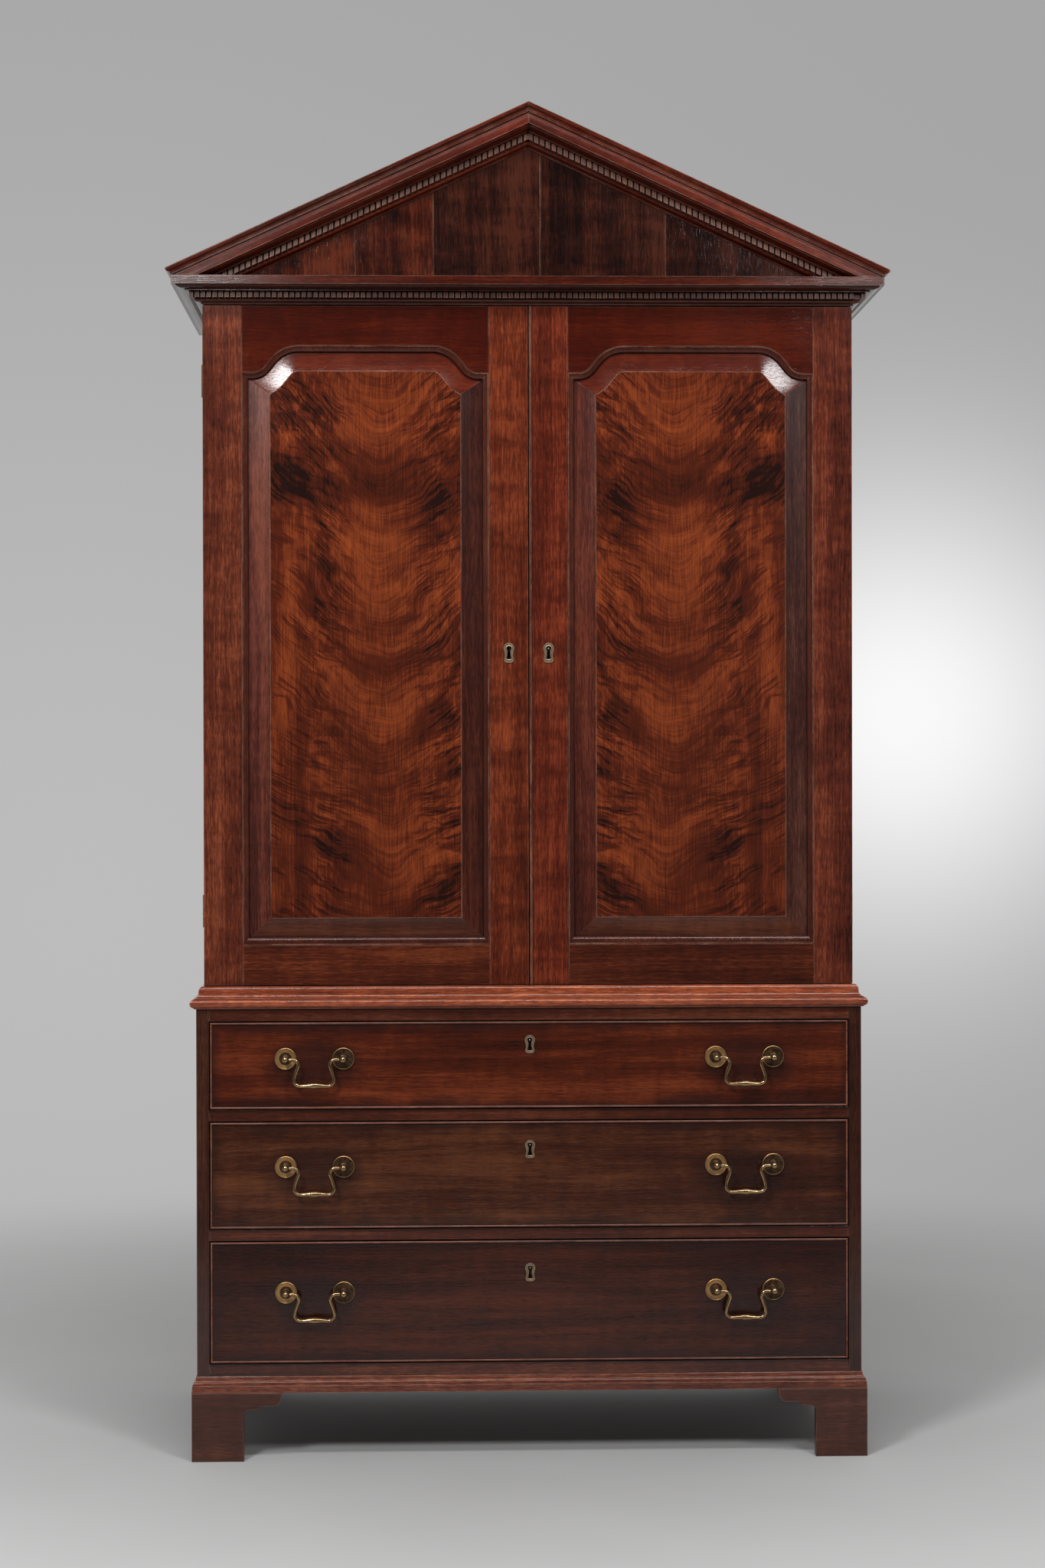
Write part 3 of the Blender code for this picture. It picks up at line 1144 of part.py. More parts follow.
def make_raking_cornices():
    """Each raking cornice is mitred at the apex and at its corner, and stands on the cornice."""
    section, band_low = rake_section()
    slope = math.tan(RAKE_ANGLE)
    run = UPPER_HALF + 2 * CYMA_PROJECTION
    for side, name in ((-1, "left"), (1, "right")):
        def station(x):
            return lambda p: Vector((side * x, DOOR_FACE_Y - p[0], p[1] - x * slope))
        item = sweep("raking_cornice_" + name, section, [station(run), station(SEAT_GAP / 2)],
                     MATERIALS["moulding"])
        corner = Vector((side * (UPPER_HALF - 2 * SEAT_GAP), DOOR_FACE_Y, 0.0))
        slice_off(item, corner, Vector((side, 1.0, 0.0)).normalized())
        slice_off(item, Vector((0.0, 0.0, CORNICE_TOP + SEAT_GAP)), Vector((0.0, 0.0, -1.0)))
        make_raking_dentils("raking_dentils_" + name, side, run, band_low, slope)


def make_raking_dentils(name, side, run, band_low, slope):
    """A comb with plumb teeth that follows the rake and dies on the cornice."""
    strip_in = DENTIL_BACK_PROJECTION + SEAT_GAP
    strip_out = strip_in + DENTIL_STRIP_THICKNESS
    height = RAKE_DENTIL_BAND - 2 * SEAT_GAP
    width = DENTIL_PITCH - DENTIL_GAP
    outline = [(SEAT_GAP / 2, strip_in), (SEAT_GAP / 2, DENTIL_PROJECTION)]
    for number, (near, far) in enumerate(teeth(run, 0.0, DENTIL_PITCH, width)):
        if number:
            outline += [(near, strip_out), (near, DENTIL_PROJECTION)]
        outline += [(far, DENTIL_PROJECTION), (far, strip_out)]
    outline += [(run, strip_out), (run, strip_in)]
    low = band_low + SEAT_GAP

    def station(base):
        return lambda p: Vector((side * p[0], DOOR_FACE_Y - p[1], base - p[0] * slope))

    stations = [station(low), station(low + height)]
    item = sweep(name, outline, stations, MATERIALS["moulding"])
    slice_off(item, Vector((0.0, 0.0, CORNICE_TOP + SEAT_GAP)), Vector((0.0, 0.0, -1.0)))


def make_tympanum():
    """The triangular board that stands on the cornice behind the raking mouldings."""
    slope = math.tan(RAKE_ANGLE)
    half = UPPER_HALF - SEAT_GAP
    low = CORNICE_TOP + SEAT_GAP
    outline = [(-half, low), (half, low), (half, APEX_Z - half * slope), (0.0, APEX_Z),
               (-half, APEX_Z - half * slope)]
    bm = stand_up(outline_bmesh(outline, TYMPANUM_THICKNESS), DOOR_FACE_Y + TYMPANUM_THICKNESS / 2)
    object_from_bmesh("tympanum", bm, MATERIALS["tympanum"])


def make_press():
    for name, side, at_front in (
        ("foot_front_left", -1, True), ("foot_front_right", 1, True),
        ("foot_rear_left", -1, False), ("foot_rear_right", 1, False),
    ):
        make_foot(name, side, at_front)
    make_base_moulding()
    make_lower_carcase()
    make_waist_moulding()
    make_upper_carcase()
    make_cornice()
    make_cornice_dentils()
    make_raking_cornices()
    make_tympanum()
    make_door("left_door", -1)
    make_door("right_door", 1)
    for number, (low, height) in enumerate(zip(drawer_bottoms(), DRAWER_HEIGHTS), start=1):
        make_drawer(number, low, height)


clear_scene()
PARTS = new_collection("linen_press")
TOOLS = new_collection("cutters")
MATERIALS = {
    "case": make_material("case_mahogany", (0.115, 0.042, 0.028), 0.42, 0.0),
    "foot": make_material("foot_mahogany", (0.105, 0.050, 0.040), 0.50, 0.0),
    "moulding": make_material("moulding_mahogany", (0.190, 0.068, 0.040), 0.38, 0.0),
    "door_frame": make_material("door_frame_mahogany", (0.185, 0.050, 0.026), 0.35, 0.0),
    "door_rail": make_material("door_rail_mahogany", (0.085, 0.022, 0.014), 0.30, 0.0),
    "panel": make_material("flame_mahogany", (0.300, 0.080, 0.026), 0.28, 0.0),
    "drawer": make_material("drawer_mahogany", (0.110, 0.040, 0.024), 0.36, 0.0),
    "tympanum": make_material("tympanum_mahogany", (0.150, 0.058, 0.034), 0.42, 0.0),
    "lining": make_material("lining_oak", (0.330, 0.205, 0.110), 0.60, 0.0),
    "brass": make_material("antique_brass", (0.420, 0.320, 0.160), 0.38, 1.0),
}
make_press()
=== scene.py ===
"""Finishes, mouldings, fielded panels and brasses of a mahogany linen press, and its stage."""

import json
import math
from itertools import accumulate

import bmesh
import bpy
from bpy.props import FloatProperty, FloatVectorProperty, IntProperty, PointerProperty
from mathutils import Matrix, Vector

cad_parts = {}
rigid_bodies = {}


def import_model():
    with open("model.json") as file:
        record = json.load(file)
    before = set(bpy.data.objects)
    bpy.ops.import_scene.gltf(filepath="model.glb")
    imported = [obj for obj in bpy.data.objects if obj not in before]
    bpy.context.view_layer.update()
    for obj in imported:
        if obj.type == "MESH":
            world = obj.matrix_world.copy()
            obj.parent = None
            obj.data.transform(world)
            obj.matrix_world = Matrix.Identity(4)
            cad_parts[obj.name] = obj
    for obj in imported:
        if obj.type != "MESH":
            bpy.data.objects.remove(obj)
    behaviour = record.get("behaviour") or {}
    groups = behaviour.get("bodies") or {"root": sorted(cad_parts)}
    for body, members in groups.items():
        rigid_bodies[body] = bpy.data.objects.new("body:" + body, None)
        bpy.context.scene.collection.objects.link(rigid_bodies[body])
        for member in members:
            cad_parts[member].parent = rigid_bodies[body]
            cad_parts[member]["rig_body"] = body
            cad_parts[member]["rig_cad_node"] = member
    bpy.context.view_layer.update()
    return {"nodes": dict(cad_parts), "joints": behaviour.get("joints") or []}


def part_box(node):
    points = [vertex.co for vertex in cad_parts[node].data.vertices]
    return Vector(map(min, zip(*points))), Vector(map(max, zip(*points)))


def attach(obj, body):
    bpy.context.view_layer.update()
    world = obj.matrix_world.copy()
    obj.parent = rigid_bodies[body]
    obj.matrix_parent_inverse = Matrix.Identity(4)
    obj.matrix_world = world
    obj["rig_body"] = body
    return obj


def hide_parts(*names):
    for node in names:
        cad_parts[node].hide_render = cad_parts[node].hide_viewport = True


bl_info = {
    "name": "Linen Press",
    "version": (1, 0, 0),
    "blender": (4, 5, 0),
    "location": "View3D > Sidebar > Linen Press",
    "description": "Dresses the frame of a pedimented linen press and sets its stage",
    "category": "Object",
}

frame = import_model()

# Places read from the frame
UPPER_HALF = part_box("upper_side_right")[1].x - 0.0038
LOWER_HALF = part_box("lower_side_right")[1].x
BACK_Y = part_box("lower_side_right")[1].y
LOWER_FRONT_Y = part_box("lower_side_right")[0].y
DOOR_FACE_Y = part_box("left_door_top_rail")[0].y
DOOR_BACK_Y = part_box("left_door_top_rail")[1].y
FOOT_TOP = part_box("foot_front_left")[1].z
BASE_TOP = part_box("base_moulding")[1].z
LOWER_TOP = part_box("lower_side_right")[1].z
WAIST_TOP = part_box("waist_moulding")[1].z
DOOR_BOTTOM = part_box("left_door_hinge_stile")[0].z
DOOR_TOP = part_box("left_door_hinge_stile")[1].z
UPPER_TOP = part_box("upper_side_right")[1].z
CORNICE_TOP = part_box("cornice_front")[1].z
APEX_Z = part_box("tympanum")[1].z
HINGE_X = UPPER_HALF
HINGE_Y = DOOR_BACK_Y + 0.0005

# Clearances and fine sizes of the modelled pieces
SEAT = 0.0003
ARC_STEPS = 8
RAKE_ANGLE = math.radians(24.74)
RAKE_SLOPE = math.tan(RAKE_ANGLE)
KNUCKLE_REACH = 0.0042
KNUCKLE_LENGTH = 0.1

DRAWERS = (1, 2, 3)
SIDES = ((-1, "left"), (1, "right"))


class PressSizes(bpy.types.PropertyGroup):
    arris: FloatProperty(
        name="Arris", description="Rounding of a board's edges", default=0.0007, unit="LENGTH")
    moulding_arris: FloatProperty(
        name="Moulding arris", description="Rounding of a moulding's fillets", default=0.00025,
        unit="LENGTH")
    cock_bead_width: FloatProperty(
        name="Cock bead width", description="Width of the bead round a drawer", default=0.0042,
        unit="LENGTH")
    cock_bead_projection: FloatProperty(
        name="Cock bead projection", description="How far the bead stands out of the drawer front",
        default=0.0029, unit="LENGTH")
    crack_width: FloatProperty(
        name="Crack width", description="Width of the shrinkage gaps in the tympanum",
        default=0.0009, unit="LENGTH")
    rose_radius: FloatProperty(
        name="Rose radius", description="Radius of a handle's rose", default=0.019, unit="LENGTH")
    ball_radius: FloatProperty(
        name="Ball radius", description="Radius of the ball on a handle's post", default=0.0061,
        unit="LENGTH")
    wire_radius: FloatProperty(
        name="Bail radius", description="Radius of a bail's wire", default=0.0031, unit="LENGTH")
    turning_steps: IntProperty(
        name="Turning steps", description="Sides of a turned piece", default=36, min=12)


class PressColours(bpy.types.PropertyGroup):
    dark: FloatVectorProperty(
        name="Dark mahogany", description="Darkest grain of the plain wood",
        default=(0.020, 0.0042, 0.0027), size=3, subtype="COLOR")
    middle: FloatVectorProperty(
        name="Mahogany", description="Body colour of the plain wood",
        default=(0.090, 0.0180, 0.0088), size=3, subtype="COLOR")
    light: FloatVectorProperty(
        name="Light mahogany", description="Lightest grain of the plain wood",
        default=(0.230, 0.056, 0.024), size=3, subtype="COLOR")
    flame_dark: FloatVectorProperty(
        name="Dark flame", description="Darkest figure of the door panels",
        default=(0.012, 0.0030, 0.0018), size=3, subtype="COLOR")
    flame_middle: FloatVectorProperty(
        name="Flame", description="Body colour of the door panels",
        default=(0.078, 0.0124, 0.0044), size=3, subtype="COLOR")
    flame_light: FloatVectorProperty(
        name="Light flame", description="Lightest figure of the door panels",
        default=(0.266, 0.052, 0.0132), size=3, subtype="COLOR")
    # Pale colour of the rubbed edges, also used to paint highlights along the arrises
    worn: FloatVectorProperty(
        name="Worn edge", description="Colour of rubbed and dusty edges",
        default=(0.340, 0.190, 0.135), size=3, subtype="COLOR")
    oak: FloatVectorProperty(
        name="Oak", description="Body colour of the linings",
        default=(0.270, 0.160, 0.080), size=3, subtype="COLOR")
    brass: FloatVectorProperty(
        name="Brass", description="Colour of rubbed brass",
        default=(0.390, 0.255, 0.130), size=3, subtype="COLOR")
    brass_dark: FloatVectorProperty(
        name="Dull brass", description="Colour of brass in its hollows",
        default=(0.055, 0.028, 0.015), size=3, subtype="COLOR")
    thread: FloatVectorProperty(
        name="Thread brass", description="Colour of the pale escutcheons",
        default=(0.310, 0.230, 0.150), size=3, subtype="COLOR")


class StageSettings(bpy.types.PropertyGroup):
    floor_grey: FloatProperty(
        name="Floor", description="Grey of the floor", default=0.455, min=0.0, max=1.0)
    background_grey: FloatProperty(
        name="Background", description="Grey of the background", default=0.375, min=0.0, max=1.0)
    left_power: FloatProperty(
        name="Left light", description="Power of the left front light", default=76.0,
        subtype="POWER")
    right_power: FloatProperty(
        name="Right light", description="Power of the right front light", default=42.0,
        subtype="POWER")
    upper_power: FloatProperty(
        name="Upper light", description="Power of the long light above the front", default=90.0,
        subtype="POWER")


# Hand work on meshes

def put_down():
    """Leave edit mode and select nothing."""
    if bpy.context.mode != "OBJECT":
        bpy.ops.object.mode_set(mode="OBJECT")
    bpy.ops.object.select_all(action="DESELECT")


def take_up(item):
    """Make the object the only selected one."""
    put_down()
    item.select_set(True)
    bpy.context.view_layer.objects.active = item


def edit_all(item):
    take_up(item)
    bpy.ops.object.mode_set(mode="EDIT")
    bpy.ops.mesh.select_all(action="SELECT")


def close_up(item, merge=0.000002):
    """Merge doubled points, turn the faces outwards and leave edit mode."""
    bpy.ops.mesh.select_all(action="SELECT")
    bpy.ops.mesh.remove_doubles(threshold=merge)
    bpy.ops.mesh.normals_make_consistent(inside=False)
    put_down()
    return item


def named(name):
    """Name the new object and apply its place, turn and scale."""
    item = bpy.context.object
    item.name = name
    bpy.ops.object.transform_apply(location=True, rotation=True, scale=True)
    return item


def drawn(name, points, fill="NOTHING"):
    """A closed line, or with the fill NGON a flat face, through the points in order."""
    put_down()
    bpy.ops.mesh.primitive_circle_add(vertices=len(points), radius=1.0, fill_type=fill)
    item = named(name)
    for vert, point in zip(item.data.vertices, points):
        vert.co = point
    return item


def extruded(name, points, travel, cuts=()):
    """A length drawn by its end, extruded along its travel and cut by (point, normal) planes."""
    item = drawn(name, points, "NGON")
    edit_all(item)
    bpy.ops.mesh.extrude_region_move(TRANSFORM_OT_translate={"value": travel})
    for point, normal in cuts:
        bpy.ops.mesh.select_all(action="SELECT")
        bpy.ops.mesh.bisect(plane_co=point, plane_no=normal, use_fill=True, clear_outer=True)
    return close_up(item)


def ringed(name, rings, closed=False):
    """A skin through rings of as many points each, capped at both ends or closed on itself."""
    item = drawn(name, rings[0])
    number = item.data.attributes.new("ring_point", "INT", "POINT")
    number.data.foreach_set("value", range(len(rings[0])))
    edit_all(item)
    if not closed:
        bpy.ops.mesh.edge_face_add()
        bpy.ops.mesh.select_all(action="SELECT")
    steps = rings[1:] + ([rings[0]] if closed else [])
    for ring in steps:
        if closed:
            bpy.ops.mesh.extrude_edges_move()
        else:
            bpy.ops.mesh.extrude_region_move()
        bm = bmesh.from_edit_mesh(item.data)
        layer = bm.verts.layers.int["ring_point"]
        for vert in bm.verts:
            if vert.select:
                vert.co = ring[vert[layer]]
        bmesh.update_edit_mesh(item.data)
    close_up(item)
    item.data.attributes.remove(item.data.attributes["ring_point"])
    return item


def turned(name, profile, centre, steps):
    """A piece turned about a level axis towards the front: (distance out, radius) pairs."""
    points = [Vector((centre.x + radius, centre.y - out, centre.z)) for out, radius in profile]
    item = drawn(name, points + [points[-1]])
    edit_all(item)
    bpy.ops.mesh.select_all(action="DESELECT")
    bm = bmesh.from_edit_mesh(item.data)
    bm.verts.ensure_lookup_table()
    bm.verts[len(points)].select_set(True)
    bmesh.update_edit_mesh(item.data)
    bpy.ops.mesh.delete(type="VERT")
    bpy.ops.mesh.select_all(action="SELECT")
    bpy.ops.mesh.spin(steps=steps, angle=math.tau, center=centre, axis=(0.0, 1.0, 0.0))
    return close_up(item)


def block(name, low, high):
    """A box between two corners."""
    put_down()
    low, high = Vector(low), Vector(high)
    bpy.ops.mesh.primitive_cube_add(size=1.0, location=(low + high) / 2)
    bpy.context.object.scale = high - low
    return named(name)


def rod(name, radius, start, end, sides=32):
    """A round rod between two points."""
    put_down()
    start, end = Vector(start), Vector(end)
    axis = end - start
    bpy.ops.mesh.primitive_cylinder_add(
        vertices=sides, radius=radius, depth=axis.length, location=(start + end) / 2,
        rotation=axis.to_track_quat("Z", "Y").to_euler())
    return named(name)


def node_copy(node, name, whole=True):
    """A merged copy of a frame node. Its flat faces are made whole again, but not round hinges."""
    take_up(frame["nodes"][node])
    bpy.ops.object.duplicate()
    item = bpy.context.object
    item.name = name
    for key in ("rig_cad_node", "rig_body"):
        del item[key]
    item.parent = None
    edit_all(item)
    bpy.ops.mesh.remove_doubles(threshold=0.000005)
    if whole:
        bpy.ops.mesh.dissolve_limited(angle_limit=math.radians(0.3))
    put_down()
    return item


def modified(item, kind, **settings):
    """Add a modifier and apply it."""
    take_up(item)
    modifier = item.modifiers.new(kind.title(), kind)
    for key, value in settings.items():
        setattr(modifier, key, value)
    bpy.ops.object.modifier_apply(modifier=modifier.name)
    return item


def rounded(item, width, segments=2, angle=38.0):
    return modified(item, "BEVEL", width=width, segments=segments, limit_method="ANGLE",
                    angle_limit=math.radians(angle), use_clamp_overlap=True)


def cut_from(item, tool):
    modified(item, "BOOLEAN", operation="DIFFERENCE", solver="EXACT", object=tool)
    bpy.data.objects.remove(tool, do_unlink=True)
    return item


def set_grain_shift(item):
    """Give each board its own place in the grain, so that neighbours differ."""
    number = len([piece for piece in bpy.data.objects if piece.get("press_piece")])
    shift = (0.37 * number % 3.1, 0.61 * number % 2.7, 0.83 * number % 4.3)
    grain = item.data.attributes.new("grain_shift", "FLOAT_VECTOR", "POINT")
    grain.data.foreach_set("vector", shift * len(item.data.vertices))
    item["press_piece"] = True


def paint_faces(item, finish, chosen):
    """Give a finish of their own to the faces that the test chooses."""
    item.data.materials.append(bpy.data.materials[finish])
    index = len(item.data.materials) - 1
    for face in item.data.polygons:
        if chosen(face):
            face.material_index = index


def paint_knuckles(item):
    """Give brass to the faces that lie on a door's hinge axis."""
    def on_axis(face):
        off = math.hypot(abs(face.center.x) - HINGE_X, face.center.y - HINGE_Y)
        heights = [item.data.vertices[index].co.z for index in face.vertices]
        return off < KNUCKLE_REACH and max(heights) - min(heights) < KNUCKLE_LENGTH

    paint_faces(item, "brass", on_axis)


def finished(item, body, finish, node, smooth=20.0):
    """Shade the piece and give it its finish, its body and its place in the frame."""
    take_up(item)
    bpy.ops.object.shade_smooth_by_angle(angle=math.radians(smooth))
    set_grain_shift(item)
    item.data.materials.clear()
    item.data.materials.append(bpy.data.materials[finish])
    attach(item, body)
    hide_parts(node)
    put_down()
    return item


# Section curves

def quarter(start, end, leave_first, steps=ARC_STEPS):
    """A quarter ellipse from start to end. It leaves along the first axis or the second."""
    points = []
    for step in range(steps + 1):
        angle = math.radians(90) * step / steps
        slow, fast = 1 - math.cos(angle), math.sin(angle)
        first, second = (fast, slow) if leave_first else (slow, fast)
        points.append((start[0] + (end[0] - start[0]) * first, start[1] + (end[1] - start[1]) * second))
    return points


def smooth_line(points, steps):
    """A smooth line through points of any number of values each (Catmull-Rom)."""
    ends = [points[0]] + list(points) + [points[-1]]
    line = []
    for index in range(len(points) - 1):
        a, b, c, d = (Vector(ends[index + shift]) for shift in range(4))
        for step in range(steps):
            t = step / steps
            line.append(0.5 * (2 * b + (c - a) * t + (2 * a - 5 * b + 4 * c - d) * t ** 2
                               + (3 * b - a - 3 * c + d) * t ** 3))
    return line + [Vector(points[-1])]


def double_curve(start, end, leave_first):
    middle = ((start[0] + end[0]) / 2, (start[1] + end[1]) / 2)
    return quarter(start, middle, leave_first) + quarter(middle, end, not leave_first)[1:]


# Node trees

class Value:
    """A node's output. Arithmetic with it adds math nodes to its own tree."""

    def __init__(self, socket):
        self.socket = socket
        self.tree = socket.id_data

    def __getitem__(self, name):
        """Another output of the same node."""
        return Value(self.socket.node.outputs[name])

    def math(self, operation, *others, clamp=False):
        return math_node(self.tree, operation, self, *others, clamp=clamp)

    def __add__(self, other):
        return self.math("ADD", other)

    def __sub__(self, other):
        return self.math("SUBTRACT", other)

    def __rsub__(self, other):
        return math_node(self.tree, "SUBTRACT", other, self)

    def __mul__(self, other):
        return self.math("MULTIPLY", other)

    def __truediv__(self, other):
        return self.math("DIVIDE", other)

    def __abs__(self):
        return self.math("ABSOLUTE")

    def clamped(self):
        return self.math("ADD", 0.0, clamp=True)


def set_inputs(node, **inputs):
    """Wire or set inputs by name, with underscores for spaces, or by number, as in _2."""
    for key, value in inputs.items():
        socket = node.inputs[int(key[1:]) if key[0] == "_" else key.replace("_", " ")]
        if isinstance(value, Value):
            socket.id_data.links.new(value.socket, socket)
        elif socket.type == "RGBA":
            socket.default_value = (*value, 1.0)
        else:
            socket.default_value = value


def add_node(tree, kind, out=0, settings=None, **inputs):
    """Add a node and give one of its outputs."""
    node = tree.nodes.new(kind)
    for key, value in (settings or {}).items():
        setattr(node, key, value)
    set_inputs(node, **inputs)
    return Value(node.outputs[out])


def math_node(tree, operation, *values, clamp=False):
    inputs = {f"_{index}": value for index, value in enumerate(values)}
    return add_node(tree, "ShaderNodeMath", 0, {"operation": operation, "use_clamp": clamp}, **inputs)


def remap(value, low, high, to_low=0.0, to_high=1.0, smooth=False):
    settings = {"interpolation_type": "SMOOTHSTEP" if smooth else "LINEAR"}
    return add_node(value.tree, "ShaderNodeMapRange", 0, settings, Value=value, From_Min=low,
                    From_Max=high, To_Min=to_low, To_Max=to_high)


def noise(vector, scale, detail=2.0, roughness=0.5, distortion=0.0, out="Fac"):
    return add_node(vector.tree, "ShaderNodeTexNoise", out, Vector=vector, Scale=scale, Detail=detail,
                    Roughness=roughness, Distortion=distortion)


def about_zero(value):
    """Noise spread to half a unit either side of zero."""
    return remap(value, 0.30, 0.70, -0.5, 0.5)


def mixed(factor, first, second):
    return add_node(factor.tree, "ShaderNodeMix", 2, {"data_type": "RGBA"}, _0=factor, _6=first, _7=second)


def scaled(vector, amounts, turn=(0.0, 0.0, 0.0), move=(0.0, 0.0, 0.0)):
    return add_node(vector.tree, "ShaderNodeMapping", Vector=vector, Scale=amounts, Rotation=turn,
                    Location=move)


def separated(vector):
    return add_node(vector.tree, "ShaderNodeSeparateXYZ", Vector=vector)


def vector_math(operation, first, second, out=0):
    return add_node(first.tree, "ShaderNodeVectorMath", out, {"operation": operation}, _0=first, _1=second)


def group_node(name, vector, **inputs):
    settings = {"node_tree": bpy.data.node_groups[name]}
    return add_node(vector.tree, "ShaderNodeGroup", 0, settings, Vector=vector, **inputs)


def new_group(name, **numbers):
    """A shader group that takes a vector and numbers with these defaults, and its inputs."""
    tree = bpy.data.node_groups.new(name, "ShaderNodeTree")
    tree.interface.new_socket("Vector", in_out="INPUT", socket_type="NodeSocketVector")
    for label, default in numbers.items():
        socket = tree.interface.new_socket(label.replace("_", " "), in_out="INPUT",
                                           socket_type="NodeSocketFloat")
        socket.default_value = default
    return tree, Value(tree.nodes.new("NodeGroupInput").outputs[0])


def give(tree, **numbers):
    """Hand numbers out of a group under their names."""
    for label in numbers:
        tree.interface.new_socket(label, in_out="OUTPUT", socket_type="NodeSocketFloat")
    set_inputs(tree.nodes.new("NodeGroupOutput"), **numbers)


def build_grain_group():
    """Ribbon figure, fine fibres and short pores of straight-grained wood along its own Z."""
    tree, given = new_group("straight_grain", Ribbon=0.5, Flecks=0.5, Cross=0.2)
    place = given["Vector"]
    drift = noise(scaled(place, (2.0, 2.0, 0.8)), 1.6)
    push = add_node(tree, "ShaderNodeCombineXYZ", X=remap(drift, 0.0, 1.0, -0.02, 0.02),
                    Y=remap(drift, 0.0, 1.0, 0.015, -0.015))
    bent = vector_math("ADD", place, push)

    def layer(length, scale, detail, roughness, amount):
        """Noise drawn out along the grain."""
        value = noise(scaled(bent, (1.0, 1.0, length)), scale, detail, roughness, 0.3)
        return about_zero(value) * amount

    ribbon = layer(0.045, 30.0, 3.0, 0.6, 0.6) + layer(0.15, 8.0, 2.0, 0.5, 0.4)
    fine = layer(0.022, 330.0, 2.0, 0.6, 0.55) + layer(0.14, 420.0, 2.0, 0.6, 0.65)
    cross = layer(2.6, 12.0, 3.0, 0.6, 1.0)
    tone = ribbon * given["Ribbon"] + 0.5 + fine * given["Flecks"] + cross * given["Cross"]
    pores = remap(noise(scaled(bent, (1.0, 1.0, 0.07), move=(3.0, 1.0, 2.0)), 820.0, 1.0), 0.58, 0.70)
    give(tree, Tone=tone.clamped(), Pores=pores, Height=pores * -0.7 + fine)


def build_flame_group():
    """Book-matched crotch figure of the two panels: hanging curves, feathers and dark streaks."""
    tree, given = new_group("flame_figure")
    parts = separated(given["Vector"])
    true_across, height = abs(parts["X"]), parts["Z"]
    flat = add_node(tree, "ShaderNodeCombineXYZ", X=true_across, Z=height)
    across, up = true_across, height
    for scale, amount in ((5.0, 0.044), (24.0, 0.008)):
        drift = separated(noise(flat, scale, out="Color"))
        across += remap(drift["X"], 0.0, 1.0, -amount, amount)
        up += remap(drift["Y"], 0.0, 1.0, -amount, amount)
    side = across - 0.252
    flank = remap(abs(true_across - 0.258), 0.026, 0.100, smooth=True)
    steep = remap(up, 1.90, 1.20, 18.0, 8.0)
    reach = 0.060
    spread = (side * side * (1 / reach ** 2) + 1.0).math("SQRT")
    hang = (spread - 1.0) * (steep * (2 * reach ** 2))

    def layer(share, wide, tall, detail, seed, warp=0.3):
        """Noise drawn out along the hanging curves."""
        level = hang * -share + up
        place = add_node(tree, "ShaderNodeCombineXYZ", X=side * wide, Y=seed, Z=level * tall)
        return noise(place, 1.0, detail, 0.55, warp)

    def outwards(middle, edge):
        """An amount that changes from the middle of a panel to its edges."""
        return remap(flank, 0.0, 1.0, middle, edge)

    lines = about_zero(layer(1.0, 9.0, 270.0, 2.0, 7.7))
    fibre = about_zero(noise(scaled(flat, (1.0, 1.0, 0.05)), 360.0, 2.0, 0.6))
    fan = remap(layer(-0.6, 60.0, 40.0, 2.0, 5.5), 0.36, 0.66, -0.5, 0.5)
    tone = about_zero(layer(1.0, 4.0, 13.0, 2.0, 0.3)) * 0.24 + 0.64
    tone += about_zero(layer(1.0, 6.0, 62.0, 3.0, 4.1)) * outwards(0.11, 0.20)
    tone += lines * 0.15 + fibre * 0.26 + fan * (flank * 0.16)
    patches = remap(layer(0.45, 9.0, 15.0, 3.0, 9.3), 0.46, 0.66, smooth=True)
    strokes = remap(layer(0.25, 13.0, 85.0, 2.0, 2.2), 0.50, 0.66, smooth=True)
    comb = remap(layer(0.55, 16.0, 250.0, 2.0, 6.4, 0.15), 0.47, 0.60, smooth=True)
    comb *= remap(noise(flat, 13.0), 0.42, 0.56, smooth=True)
    dark = patches * outwards(0.14, 0.26) + strokes * outwards(0.04, 0.22) + comb * outwards(0.06, 0.34)
    high = remap(height, 1.60, 1.74)
    corner = high * remap(true_across, 0.30, 0.38, smooth=True)
    knots = remap(noise(flat, 20.0, 3.0, 0.6, 1.2), 0.38, 0.64, 0.02, 0.30)
    tone -= dark + corner * knots
    streak = noise(scaled(flat, (34.0, 1.0, 1.6)), 1.0, 3.0, 0.55, 0.4)
    streak_share = remap(across, 0.358, 0.395, 0.0, 0.7, smooth=True) * (1.0 - high)
    streaked = remap(streak, 0.34, 0.62, 0.30, 0.78) + fibre * 0.26 + comb * -0.22
    tone = add_node(tree, "ShaderNodeMix", _0=streak_share, _2=tone, _3=streaked)
    shade = add_node(tree, "ShaderNodeValToRGB", Fac=remap(up, 0.90, 1.90))
    stops = ((0.00, 0.44), (0.10, 0.46), (0.24, 0.50), (0.38, 0.47), (0.50, 0.53), (0.62, 0.56),
             (0.70, 0.54), (0.750, 0.46), (0.785, 0.27), (0.82, 0.40), (0.87, 0.55), (1.00, 0.50))
    ramp = shade.socket.node.color_ramp.elements
    for position, value in stops[1:-1]:
        ramp.new(position)
    for element, (position, value) in zip(ramp, stops):
        element.position = position
        element.color = (value, value, value, 1.0)
    give(tree, Tone=(tone + (shade - 0.5)).clamped(), Height=lines)


